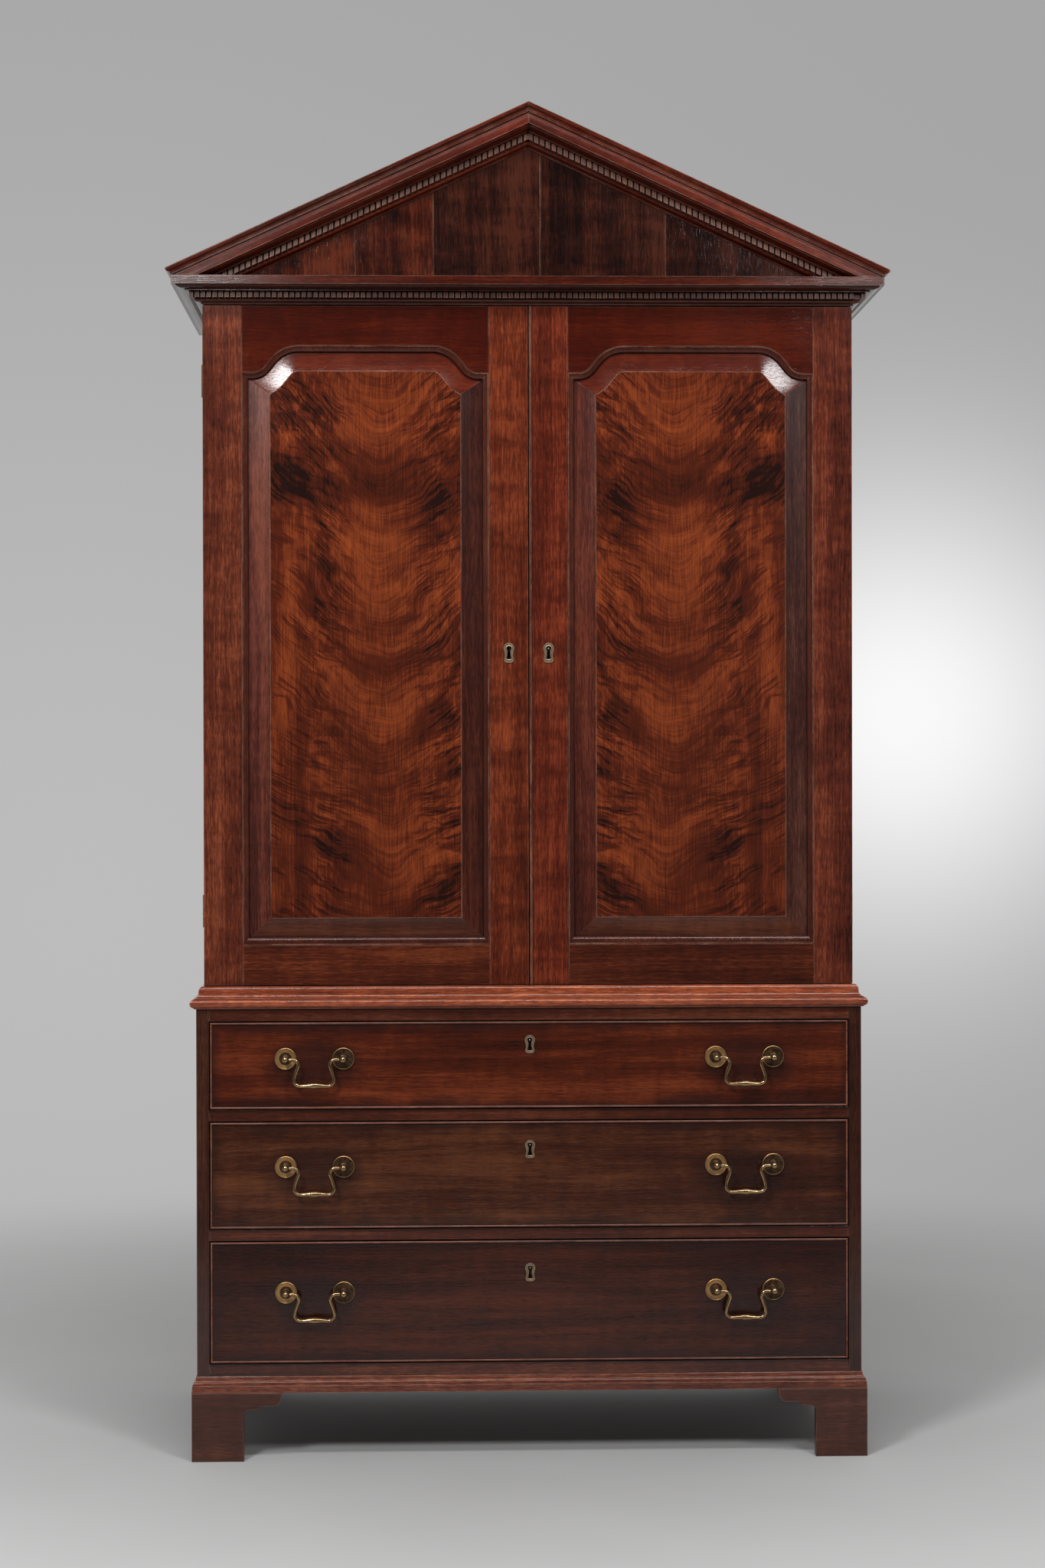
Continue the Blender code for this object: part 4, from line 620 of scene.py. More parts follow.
def build_wear_group():
    """Pale rubbed edges with painted highlights, dirt with painted shade in corners and recesses, and cloudy
    polish.
    """
    tree, given = new_group("wear", Edge=0.0012, Reach=0.012)
    place = given["Vector"]
    bevel = add_node(tree, "ShaderNodeBevel", 0, {"samples": 4}, Radius=given["Edge"])
    flat = add_node(tree, "ShaderNodeNewGeometry", "Normal")
    edge = remap(vector_math("DOT_PRODUCT", bevel, flat, "Value"), 0.997, 0.95)
    open_to = add_node(tree, "ShaderNodeAmbientOcclusion", "AO", {"samples": 4}, Distance=given["Reach"])
    patches = noise(place, 16.0, 4.0, 0.65)
    specks = noise(place, 90.0, 2.0, 0.6)
    # Pale edges: rubbed wear, and a painted highlight along the arrises
    rub = edge * remap(open_to, 0.55, 0.90) * remap(patches, 0.36, 0.66, 0.15, 1.0)
    rub *= remap(specks, 0.25, 0.6, 0.4, 1.0)
    # Dark where the ambient occlusion closes in: dirt, and painted shade in corners and recesses
    dirt_and_shade = remap(open_to, 0.86, 0.35) * remap(patches, 0.2, 0.7, 0.6, 1.0)
    give(tree, Rubbed=rub.clamped(), Grime=dirt_and_shade.clamped(), Clouds=noise(place, 5.0, 4.0, 0.6, 0.4))


def build_margin_group():
    """Darkening along a drawer's margins and round its handles."""
    tree, given = new_group("margin", Centre=0.0, Half_Width=0.5, Half_Height=0.1, Handle_Height=0.0)
    parts = separated(given["Vector"])
    across, up = abs(parts["X"]), parts["Z"]
    beside = given["Half Width"] - across
    above = given["Half Height"] - abs(up - given["Centre"])
    cloud = noise(given["Vector"], 11.0, 3.0, 0.6)
    near = beside.math("MINIMUM", above) + remap(cloud, 0.3, 0.7, -0.010, 0.016)
    edge = remap(near, 0.0, 0.034, 0.75, 0.0, smooth=True)
    halo_x = (across - 0.373) / 0.085
    halo_z = (up - given["Handle Height"]) / 0.048
    far = halo_x * halo_x + halo_z * halo_z + remap(cloud, 0.3, 0.7, -0.3, 0.3)
    halo = remap(far, 0.3, 1.5, 0.65, 0.0, smooth=True)
    give(tree, Grime=edge.math("MAXIMUM", halo))


def build_gap_group():
    """Painted shadow, with some dirt, on the case beside the drawers' edges."""
    tree, given = new_group("drawer_gaps")
    parts = separated(given["Vector"])
    across, up = abs(parts["X"]), parts["Z"]
    shades = []
    for number in DRAWERS:
        low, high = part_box(f"drawer_{number}_front")
        beside = across.math("LESS_THAN", high.x + 0.002)
        below = remap(up, low.z - 0.0085, low.z - 0.0015) * up.math("LESS_THAN", low.z)
        above = remap(up, high.z + 0.0040, high.z + 0.0012) * up.math("GREATER_THAN", high.z)
        off = abs(up - (low.z + high.z) / 2)
        side = remap(across, high.x + 0.0050, high.x + 0.0012)
        side *= off.math("LESS_THAN", (high.z - low.z) / 2 + 0.002)
        shades += [(below.math("MAXIMUM", above) * beside).math("MAXIMUM", side)]
    give(tree, Shade=shades[0].math("MAXIMUM", shades[1]).math("MAXIMUM", shades[2]))


# Finishes

# Directions of the grain, as turns that bring it upright
GRAIN_TURNS = {
    "upright": (0.0, 0.0, 0.0),
    "level": (0.0, math.radians(90), 0.0),
    "return": (math.radians(90), 0.0, 0.0),
    "left_rake": (0.0, RAKE_ANGLE - math.radians(90), 0.0),
    "right_rake": (0.0, math.radians(90) - RAKE_ANGLE, 0.0),
}


def tinted(colour, tint):
    return tuple(value * share for value, share in zip(colour, tint))


def new_material(name):
    """A material's tree, its shader and its object coordinates."""
    material = bpy.data.materials.new(name)
    material.use_nodes = True
    tree = material.node_tree
    return tree, tree.nodes["Principled BSDF"], add_node(tree, "ShaderNodeTexCoord", "Object")


def make_wood(name, grain, tint=(1.0, 1.0, 1.0), ribbon=0.5, flecks=0.5, cross=0.15, gloss=0.13,
              rubbed=0.6, figure=None, colours=None, margin=None, gaps=False, crown=None, relief=0.15,
              shine=0.40):
    """A polished wood: figure, pores, pale rubbed edges and dirt with painted highlight and shade, and
    cloudy gloss.
    """
    paint = bpy.context.scene.press_colours
    colours = colours or (paint.dark, paint.middle, paint.light)
    dark, middle, light = (tinted(colour, tint) for colour in colours)
    tree, shader, coordinate = new_material(name)
    shift = add_node(tree, "ShaderNodeAttribute", "Vector", {"attribute_name": "grain_shift"})
    moved = vector_math("ADD", coordinate, shift)
    if figure:
        wood = group_node(figure, coordinate)
        pores = group_node("straight_grain", moved)["Pores"]
    else:
        along = scaled(moved, (1.0, 1.0, 1.0), GRAIN_TURNS[grain])
        wood = group_node("straight_grain", along, Ribbon=ribbon, Flecks=flecks, Cross=cross)
        pores = wood["Pores"]
    wear = group_node("wear", moved, Edge=0.0022)
    body = mixed(remap(wood["Tone"], 0.05, 0.50), dark, middle)
    body = mixed(remap(wood["Tone"], 0.50, 0.95), body, light)
    body = mixed(pores * 0.35, body, dark)

    def darkened(share, tone):
        return mixed(share, body, tinted(colours[0], tone))

    if margin:
        # Darker along a drawer's margins and round its handles
        body = darkened(group_node("margin", coordinate, **margin)["Grime"], (0.8, 1.4, 1.8))
    # Pale rubbed edges, partly a painted highlight along the arrises
    body = mixed(wear["Rubbed"] * rubbed, body, paint.worn)
    # Painted shade on a bead's flanks behind its crown, which stays light
    if crown:
        body = darkened(remap(separated(coordinate)["Y"], *crown), (0.9, 0.9, 0.9))
    # Painted shadow beside the drawers' edges
    if gaps:
        body = darkened(group_node("drawer_gaps", coordinate)["Shade"] * 0.85, (0.2, 0.2, 0.2))
    # Dirt and painted shade in corners and recesses
    body = darkened(wear["Grime"] * 0.8, (0.5, 0.5, 0.6))
    rough = remap(wear["Clouds"], 0.3, 0.7, gloss - 0.02, gloss + 0.04) + wear["Grime"] * 0.05
    bump = add_node(tree, "ShaderNodeBump", Strength=relief, Distance=0.0004, Height=wood["Height"])
    set_inputs(shader, Base_Color=body, Roughness=rough, Normal=bump, Specular_IOR_Level=shine)


def make_brass(name, light, dark, dullness=0.0, polish=0.15, metal=1.0):
    """Old brass, bright where hands rub it and dark in its hollows."""
    tree, shader, coordinate = new_material(name)
    wear = group_node("wear", coordinate, Edge=0.0016, Reach=0.009)
    stains = noise(coordinate, 120.0, 4.0, 0.65, 0.5)
    fine = noise(coordinate, 900.0, 2.0, 0.6)
    dull = wear["Grime"] * 1.2 + remap(stains, 0.38, 0.75, dullness, dullness + 0.45)
    dull = (dull.clamped() - wear["Rubbed"] * 0.9).clamped()
    bump = add_node(tree, "ShaderNodeBump", Strength=0.12, Distance=0.0003, Height=stains + fine)
    set_inputs(shader, Base_Color=mixed(dull, light, dark), Normal=bump,
               Roughness=remap(dull, 0.0, 1.0, polish, polish + 0.25),
               Metallic=remap(dull, 0.0, 1.0, metal, metal * 0.72))


def handle_height(number):
    """Height of the pins on which a drawer's bails swing."""
    name = f"drawer_{number}_handle_left_swing"
    return next(joint["pos_m"][2] for joint in frame["joints"] if joint["name"] == name)


# Kinds of wood surface that several finishes share
# A surface's rubbed amount also sets the painted highlight along its arrises
CASE = {"ribbon": 0.6, "flecks": 0.3, "gaps": True}
STILE_WOOD = {"ribbon": 0.6, "flecks": 0.55, "cross": 0.3}
RAIL_WOOD = {"ribbon": 0.6, "flecks": 0.5}
RAKE_WOOD = {"ribbon": 0.8, "rubbed": 1.0, "gloss": 0.28, "relief": 0.05, "shine": 0.12}
DENTIL = {"ribbon": 0.3, "rubbed": 1.0, "gloss": 0.30}

# Finishes as name, direction of the grain, tint and surface
WOODS = (
    ("case_upright", "upright", (0.50, 0.76, 0.92), CASE),
    # The right sides are a darker copy of the same wood: painted shade, as if lit from the left
    ("case_right", "upright", (0.33, 0.46, 0.54), CASE),
    ("case_broad", "upright", (0.80, 0.66, 0.56), {"ribbon": 0.8, "flecks": 0.3, "shine": 0.30}),
    ("case_level", "level", (0.72, 0.85, 0.90), {"ribbon": 0.7, "flecks": 0.35, "gaps": True}),
    ("hinge_left", "upright", (1.08, 1.10, 1.08), STILE_WOOD),
    ("meeting_left", "upright", (1.07, 0.87, 0.65), STILE_WOOD),
    ("meeting_right", "upright", (0.94, 0.67, 0.57), STILE_WOOD),
    ("hinge_right", "upright", (1.05, 1.00, 1.03), STILE_WOOD),
    ("rail_left", "level", (0.80, 0.73, 0.60), RAIL_WOOD),
    # The right door's bottom rail is a darker copy: painted shade, as if lit from the left
    ("rail_right", "level", (0.58, 0.52, 0.44), RAIL_WOOD),
    ("top_rail_level", "level", (0.48, 0.23, 0.13), {"ribbon": 0.5, "flecks": 0.25}),
    # Lit and shaded copies of one wood for the panels' bevels, by which way they face: painted light and
    # shade, with a painted grey reflection on the outer bevels
    ("bevel_left_left", "upright", (0.74, 0.80, 1.05), {"ribbon": 0.8, "gloss": 0.22}),
    ("bevel_left_right", "upright", (0.36, 0.34, 0.40), {"ribbon": 0.8, "gloss": 0.20}),
    ("bevel_right_left", "upright", (0.67, 0.64, 0.76), {"ribbon": 0.8, "gloss": 0.20}),
    ("bevel_right_right", "upright", (0.47, 0.68, 1.00), {"ribbon": 0.8, "gloss": 0.22}),
    ("bevel_foot", "level", (0.62, 0.82, 0.92), {"ribbon": 0.5, "flecks": 0.25}),
    ("bevel_head", "level", (0.76, 0.42, 0.23), {"ribbon": 0.5, "flecks": 0.25, "gloss": 0.16}),
    ("field_edge", "upright", (1.10, 1.40, 1.60), {"ribbon": 0.6, "rubbed": 0.9}),
    ("panel_bead", "upright", (0.60, 0.60, 0.65), {"ribbon": 0.4, "flecks": 0.3, "rubbed": 0.9}),
    ("rake_left", "left_rake", (0.76, 0.46, 0.36), RAKE_WOOD),
    ("rake_right", "right_rake", (0.76, 0.46, 0.36), RAKE_WOOD),
    # The dentils are tinted pale and grey: their own colour, partly painted light that lifts them out of the
    # cornice's shade
    ("dentil", "upright", (1.50, 2.80, 3.70), DENTIL),
    ("dentil_level", "upright", (0.62, 1.00, 1.35), {**DENTIL, "shine": 0.30}),
    ("tympanum_red", "upright", (0.40, 0.31, 0.28), {"ribbon": 1.1, "flecks": 0.7, "cross": 0.5}),
    ("tympanum_dark", "upright", (0.23, 0.22, 0.24), {"ribbon": 1.2, "flecks": 0.7, "cross": 0.5}),
    # The bead's crown stays light and its flanks get painted shade
    ("cock_bead", "level", (1.25, 1.40, 1.40),
     {"ribbon": 0.6, "rubbed": 0.9, "gloss": 0.30, "relief": 0.05, "shine": 0.25,
      "crown": (LOWER_FRONT_Y - 0.0027, LOWER_FRONT_Y - 0.0018)}),
    ("astragal", "upright", (0.90, 1.30, 1.60), {"ribbon": 0.6, "flecks": 0.8, "rubbed": 0.5}),
    ("foot", "level", (0.68, 1.00, 1.20), {"ribbon": 0.35, "flecks": 0.3, "gloss": 0.30}),
)

# Mouldings that run along the front and return along the sides
MOULDING_WOODS = (
    ("base", (1.35, 1.80, 2.10), {"ribbon": 0.5, "rubbed": 1.0, "relief": 0.05}),
    ("cornice", (0.48, 0.32, 0.25), {"ribbon": 0.6, "rubbed": 0.7, "relief": 0.05}),
    # The waist is tinted much paler: partly paler wood, partly a painted highlight
    ("waist", (2.40, 2.50, 2.10), {"ribbon": 0.4, "flecks": 0.5, "rubbed": 0.9, "relief": 0.04}),
)

# Drawer fronts from the top down: tint and shine
DRAWER_WOODS = (((0.80, 0.66, 0.50), 0.40), ((0.53, 0.69, 0.62), 0.40), ((0.29, 0.25, 0.19), 0.32))


class PRESS_OT_finishes(bpy.types.Operator):
    """Make the woods and the brass of the press"""
    bl_idname = "press.finishes"
    bl_label = "Finishes"

    def execute(self, context):
        paint = context.scene.press_colours
        for build in (build_grain_group, build_flame_group, build_wear_group, build_margin_group,
                      build_gap_group):
            build()
        for name, grain, tint, surface in WOODS:
            make_wood(name, grain, tint, **surface)
        for name, tint, surface in MOULDING_WOODS:
            for grain in ("level", "return"):
                make_wood(f"{name}_{grain}", grain, tint, **surface)
        flame = (paint.flame_dark, paint.flame_middle, paint.flame_light)
        make_wood("flame", "upright", figure="flame_figure", colours=flame)
        oak = (tinted(paint.oak, (0.45, 0.40, 0.36)), paint.oak, tinted(paint.oak, (1.5, 1.5, 1.5)))
        for grain in ("level", "upright", "return"):
            make_wood("oak_" + grain, grain, ribbon=0.8, flecks=0.7, gloss=0.62, colours=oak, rubbed=0.1)
        for number, (tint, shine) in zip(DRAWERS, DRAWER_WOODS):
            low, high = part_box(f"drawer_{number}_front")
            margin = {"Centre": (low.z + high.z) / 2, "Half_Width": (high.x - low.x) / 2,
                      "Half_Height": (high.z - low.z) / 2, "Handle_Height": handle_height(number) - 0.012}
            make_wood(f"drawer_{number}", "level", tint, ribbon=0.9, flecks=0.35, margin=margin,
                      shine=shine)
        gold = tinted(paint.brass, (1.40, 1.25, 1.05))
        make_brass("brass", paint.brass, paint.brass_dark)
        # Lit and shaded copies of the roses' brass: painted reflection and shade
        make_brass("rose_gold", gold, paint.brass_dark, dullness=-0.1, polish=0.38)
        make_brass("rose_dark", paint.brass, tinted(paint.brass_dark, (0.7, 0.6, 0.6)), dullness=0.75)
        make_brass("thread", paint.thread, paint.brass_dark, dullness=-0.2, polish=0.35, metal=0.6)
        make_brass("thread_dull", paint.thread, paint.brass_dark, dullness=0.45, polish=0.35, metal=0.6)
        return {"FINISHED"}


# Boards

PLANKS = 5
PLANK_GAP = 0.0002
PLANK_ARRIS = 0.0012


class PRESS_OT_boards(bpy.types.Operator):
    """Round the boards' arrises and finish the plain boards of both carcases"""
    bl_idname = "press.boards"
    bl_label = "Boards"

    def execute(self, context):
        arris = context.scene.press_sizes.arris
        outer = (
            ("lower_side_left", "case_upright"), ("lower_side_right", "case_right"),
            ("upper_side_left", "case_upright"), ("upper_side_right", "case_right"),
            ("lower_bottom", "case_level"), ("lower_top", "case_level"),
            ("drawer_divider_lower", "case_level"), ("drawer_divider_upper", "case_level"),
            ("upper_top", "case_level"),
        )
        for node, finish in outer:
            hinged = node.startswith("upper_side")
            item = node_copy(node, node + "_board", whole=not hinged)
            if not hinged:
                rounded(item, arris)
            finished(item, "root", finish, node, smooth=10.0)
            if "_side_" in node:
                paint_faces(item, "case_broad", lambda face: abs(face.normal.x) > 0.9)
            if hinged:
                paint_knuckles(item)
        for corner in ("front_left", "front_right", "rear_left", "rear_right"):
            node = "foot_" + corner
            item = rounded(node_copy(node, node + "_bracket"), arris)
            finished(item, "root", "foot", node)
        for node in ("upper_back", "lower_back"):
            low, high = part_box(node)
            wide = (high.x - low.x) / PLANKS
            for number in range(PLANKS):
                start = low.x + wide * number
                item = block(f"{node}_plank_{number + 1}", (start + PLANK_GAP / 2, low.y, low.z),
                             (start + wide - PLANK_GAP / 2, high.y, high.z))
                finished(rounded(item, PLANK_ARRIS), "root", "oak_upright", node)
        linings = [(node, "root", "oak_level") for node in ("upper_bottom", "shelf_1", "shelf_2", "shelf_3")]
        linings += [(f"drawer_{number}_box", f"drawer_{number}", "oak_return") for number in DRAWERS]
        for node, body, finish in linings:
            item = rounded(node_copy(node, node + "_lining"), arris)
            finished(item, body, finish, node)
        return {"FINISHED"}


# Mouldings

def side_run(name, section, side, half, face_y, finish, node, arris):
    """A length that returns along a side, mitred at its front end."""
    ring = [(side * (half + p), BACK_Y, z) for p, z in section]
    reach = max(p for p, z in section)
    travel = (0.0, face_y - reach - BACK_Y, 0.0)
    corner = Vector((side * half, face_y, 0.0))
    item = extruded(name, ring, travel, [(corner, Vector((-side, -1.0, 0.0)).normalized())])
    return finished(rounded(item, arris), "root", finish, node)


def front_run(name, section, half, face_y, finish, node, arris, shift=0.0):
    """The front length, mitred at both ends."""
    reach = max(p for p, z in section)
    ring = [(-half - reach, face_y - p, z) for p, z in section]
    cuts = []
    for side in (-1, 1):
        corner = Vector((side * (half - shift), face_y, 0.0))
        cuts.append((corner, Vector((side, 1.0, 0.0)).normalized()))
    item = extruded(name, ring, (2 * (half + reach), 0.0, 0.0), cuts)
    return finished(rounded(item, arris), "root", finish, node)


def three_runs(prefix, section, half, face_y, finish, node, arris, inner=None):
    """A moulding round three sides as its front and two returns."""
    front = section
    if inner is not None:
        front = [(p if p > SEAT else inner, z) for p, z in section]
    front_run(prefix + "_front_run", front, half, face_y, finish + "_level", node, arris)
    for side, word in SIDES:
        side_run(f"{prefix}_{word}_run", section, side, half, face_y, finish + "_return", node, arris)


def base_section():
    low, high = FOOT_TOP + SEAT, BASE_TOP
    fascia_top, fillet = FOOT_TOP + 0.0125, 0.0022
    foot, chin, throat, tip = 0.0090, 0.0082, 0.0071, 0.0018
    section = [(SEAT, low), (foot, low), (chin, fascia_top)]
    section += double_curve((throat, fascia_top), (tip, high - fillet), leave_first=False)
    return section + [(tip, high), (SEAT, high)]


def waist_section():
    low, high = LOWER_TOP + SEAT, WAIST_TOP
    tip, step_out, chin, quirk = 0.003, 0.0095, 0.0172, 0.0150
    radius, bead_out, bead_z, bead_steps = 0.0074, 0.0164, high - 0.0289, 12
    section = [(SEAT, low), (SEAT, high), (tip, high)]
    section += quarter((tip, high), (step_out, high - 0.0095), True)[1:]
    section += quarter((step_out, high - 0.0105), (chin, high - 0.0202), False)
    section += [(chin, high - 0.0212), (quirk, high - 0.0217)]
    for step in range(bead_steps + 1):
        angle = math.radians(80 - 160 * step / bead_steps)
        section.append((bead_out + radius * math.cos(angle), bead_z + radius * math.sin(angle)))
    return section + [(0.0168, low)]


class PRESS_OT_case_mouldings(bpy.types.Operator):
    """Run the base moulding and the waist moulding round the case"""
    bl_idname = "press.case_mouldings"
    bl_label = "Case mouldings"

    def execute(self, context):
        arris = context.scene.press_sizes.moulding_arris
        three_runs("base", base_section(), LOWER_HALF, LOWER_FRONT_Y, "base", "base_moulding", arris)
        section = waist_section()
        three_runs("waist", section, UPPER_HALF, DOOR_FACE_Y, "waist", "waist_moulding", arris,
                   inner=DOOR_FACE_Y - DOOR_BACK_Y)
        return {"FINISHED"}


# Distances of the cornice's members out from the case
BED_FOOT = 0.002
BED_REACH = 0.013
BAND_REACH = 0.012
COVE_FOOT = 0.028
COVE_REACH = 0.043
CORONA_REACH = 0.050
FILLET_REACH = 0.051
CYMA_FOOT = 0.0523
CYMA_REACH = 0.059

# Heights of the members, up the level cornice from its foot and down the rake from its tip
LEVEL_MEMBERS = (0.0094, 0.0109, 0.0027, 0.0051)
RAKE_MEMBERS = (0.002, 0.0103, 0.0029, 0.007, 0.0132, 0.0069, 0.0032, 0.0119, 0.0118)

# How far the rakes are drawn past the case before they are cut, and the tympanum's depths
RAKE_OVERRUN = 0.118
TYMPANUM_THICKNESS = 0.018
GAP_DEPTH = 0.0012


def bed_curve(bottom, fillet_height, height):
    """The bed moulding below the dentils: a hollow and a round."""
    hollow_reach, hollow_height = 0.0055, 0.0033 * height / LEVEL_MEMBERS[0]
    hollow_top = bottom + hollow_height
    points = quarter((BED_FOOT, bottom), (hollow_reach, hollow_top), False)
    points += quarter((hollow_reach + 0.001, hollow_top), (BED_REACH, bottom + height - fillet_height), True)
    return points + [(BED_REACH, bottom + height)]


def cornice_section(inner):
    _, band_low, band_high, fillet_high, soffit = accumulate(LEVEL_MEMBERS, initial=UPPER_TOP)
    section = [(-inner, UPPER_TOP + SEAT)]
    section += bed_curve(UPPER_TOP + SEAT, 0.0015, LEVEL_MEMBERS[0] - SEAT)
    section += [(BAND_REACH, band_low), (BAND_REACH, band_high), (COVE_FOOT, band_high)]
    section += quarter((COVE_FOOT, fillet_high), (COVE_REACH, soffit), True)
    return section + [(CORONA_REACH, soffit), (CORONA_REACH, CORNICE_TOP)]


def cyma_curve(base, top):
    return double_curve((CYMA_FOOT, base), (CYMA_REACH, top), leave_first=False)


def rake_section():
    """Plumb section of the raking cornice at the apex, drawn clockwise from its inner top."""
    drops = [APEX_Z - drop for drop in accumulate(RAKE_MEMBERS)]
    cyma_top, cyma_base, fillet_low, hollow_low, soffit, fillet_high, band_high, band_low, bed_low = drops
    section = [(SEAT, APEX_Z), (CYMA_REACH, APEX_Z)]
    section += reversed(cyma_curve(cyma_base, cyma_top))
    section += [(FILLET_REACH, cyma_base), (FILLET_REACH, fillet_low)]
    section += quarter((0.048, fillet_low), (CORONA_REACH, hollow_low), False)
    section += [(CORONA_REACH, soffit)]
    section += quarter((COVE_REACH, soffit), (COVE_FOOT, fillet_high), False)
    section += [(COVE_FOOT, band_high), (BAND_REACH, band_high), (BAND_REACH, band_low)]
    section += reversed(bed_curve(bed_low, 0.0033, RAKE_MEMBERS[-1]))
    return section + [(SEAT, bed_low)]


class PRESS_OT_cornice(bpy.types.Operator):
    """Run the level cornice with its returns and soften its dentils"""
    bl_idname = "press.cornice"
    bl_label = "Cornice"

    def execute(self, context):
        arris = context.scene.press_sizes.moulding_arris
        front = cornice_section(0.047)
        front.append((front[0][0], CORNICE_TOP))
        front_run("cornice_front_run", front, UPPER_HALF, DOOR_FACE_Y, "cornice_level", "cornice_front",
                  arris, shift=SEAT)
        returned = cornice_section(0.022)
        fillet_top = CORNICE_TOP + 0.0021
        tip = fillet_top + 0.0084
        returned += [(FILLET_REACH, CORNICE_TOP), (FILLET_REACH, fillet_top)]
        returned += cyma_curve(fillet_top, tip - RAKE_MEMBERS[0])
        returned += [(CYMA_REACH, tip), (SEAT, tip + CYMA_REACH * RAKE_SLOPE), (SEAT, CORNICE_TOP),
                     (returned[0][0], CORNICE_TOP)]
        for side, word in SIDES:
            side_run(f"cornice_{word}_run", returned, side, UPPER_HALF, DOOR_FACE_Y, "cornice_return",
                     "cornice_side_" + word, arris)
        item = rounded(node_copy("cornice_dentils", "cornice_dentil_course"), arris, segments=1)
        finished(item, "root", "dentil_level", "cornice_dentils")
        return {"FINISHED"}


class PRESS_OT_pediment(bpy.types.Operator):
    """Raise the raking cornices, their dentils and the boarded tympanum"""
    bl_idname = "press.pediment"
    bl_label = "Pediment"

    def execute(self, context):
        sizes = context.scene.press_sizes
        arris = sizes.moulding_arris
        section = rake_section()
        run = UPPER_HALF + RAKE_OVERRUN
        for side, word in SIDES:
            ring = [(side * SEAT / 2, DOOR_FACE_Y - p, z - RAKE_SLOPE * SEAT / 2) for p, z in section]
            corner = Vector((side * (UPPER_HALF - 2 * SEAT), DOOR_FACE_Y, 0.0))
            cuts = [(corner, Vector((side, 1.0, 0.0)).normalized()),
                    (Vector((0.0, 0.0, CORNICE_TOP + SEAT)), Vector((0.0, 0.0, -1.0)))]
            node = "raking_cornice_" + word
            item = extruded(node + "_run", ring, (side * run, 0.0, -run * RAKE_SLOPE), cuts)
            finished(rounded(item, arris), "root", "rake_" + word, node)
            node = "raking_dentils_" + word
            item = rounded(node_copy(node, f"raking_dentil_course_{word}"), arris, segments=1)
            finished(item, "root", "dentil", node)
        self.make_tympanum(sizes)
        return {"FINISHED"}

    @staticmethod
    def make_tympanum(sizes):
        """Upright boards that have shrunk apart, with pale wood in the gaps."""
        half = UPPER_HALF - SEAT
        low = CORNICE_TOP + SEAT
        back = DOOR_FACE_Y + TYMPANUM_THICKNESS
        gap = sizes.crack_width / 2
        seams = [-half, -0.300, -0.164, 0.021, 0.239, half]
        widths = [0.0, gap * 0.7, gap * 0.6, gap, gap * 0.5, 0.0]
        for number, (left, right) in enumerate(zip(seams, seams[1:])):
            start = left + widths[number]
            end = right - widths[number + 1]
            tops = [start] + ([0.0] if start < 0.0 < end else []) + [end]
            outline = [(start, low), (end, low)]
            outline += [(x, APEX_Z - abs(x) * RAKE_SLOPE) for x in reversed(tops)]
            ring = [(x, DOOR_FACE_Y, z) for x, z in outline]
            item = extruded(f"tympanum_board_{number + 1}", ring, (0.0, back - DOOR_FACE_Y, 0.0))
            finish = "tympanum_red" if number < 2 else "tympanum_dark"
            rounded(item, sizes.moulding_arris)
            finished(item, "root", finish, "tympanum")
        for number, (x, wide) in enumerate(zip(seams[1:-1], widths[1:-1]), start=1):
            top = APEX_Z - abs(x) * RAKE_SLOPE - 0.001
            part = low + (top - low) * (0.45 if number in (2, 3) else 1.0)
            for word, finish, start, end in (("low", "tympanum_dark", low, part),
                                             ("high", "oak_upright", part, top)):
                if end > start:
                    item = block(f"tympanum_gap_{number}_{word}", (x - wide, DOOR_FACE_Y + GAP_DEPTH, start),
                                 (x + wide, back, end))
                    finished(item, "root", finish, "tympanum")


# Doors

MEETING_GAP = 0.0015
STILE = 0.0675
OPENING_HALF = (UPPER_HALF - MEETING_GAP / 2) / 2 - STILE
OPENING_MIDDLE = DOOR_TOP - 0.0685
OPENING_BOTTOM = DOOR_BOTTOM + 0.069
SHOULDER_DROP = 0.0470
SHOULDER_FLAT = 0.0182
SHOULDER_SLOPE = math.radians(51)
LOW_RADIUS = 0.0266
HIGH_RADIUS = 0.0612

# Width of the planted moulding at the sides, the top and the bottom, and depths of the panel's levels
MOULDING_WIDTHS = (0.0106, 0.0106, 0.0135)
BEVEL_END = 0.0040
FIELD_EDGE = 0.0031
FIELD = 0.0025

SHOULDER_RUN = (LOW_RADIUS + HIGH_RADIUS) * math.sin(SHOULDER_SLOPE) + (
    SHOULDER_DROP - (LOW_RADIUS + HIGH_RADIUS) * (1 - math.cos(SHOULDER_SLOPE))) / math.tan(SHOULDER_SLOPE)


def opening_ring(centre_x, depth, side_in, top_in, bottom_in, steps=14):
    """The opening's outline set in by three distances, as points at a depth behind the face."""
    low_z = OPENING_MIDDLE - SHOULDER_DROP + LOW_RADIUS
    high_z = OPENING_MIDDLE - HIGH_RADIUS
    low_x = OPENING_HALF - SHOULDER_FLAT
    low_radius, high_radius = LOW_RADIUS + top_in, HIGH_RADIUS - top_in
    half = OPENING_HALF - side_in
    start = math.asin(max(0.0, low_x - half) / low_radius)
    right = [(half, OPENING_BOTTOM + bottom_in), (half, low_z - low_radius * math.cos(start))]
    for step in range(steps + 1):
        angle = start + (SHOULDER_SLOPE - start) * step / steps
        right.append((low_x - low_radius * math.sin(angle), low_z - low_radius * math.cos(angle)))
    for step in range(steps + 1):
        angle = SHOULDER_SLOPE * (1 - step / steps)
        right.append((low_x - SHOULDER_RUN + high_radius * math.sin(angle),
                      high_z + high_radius * math.cos(angle)))
    left = [(-x, z) for x, z in reversed(right)]
    return [Vector((centre_x + x, DOOR_FACE_Y + depth, z)) for x, z in right + left]


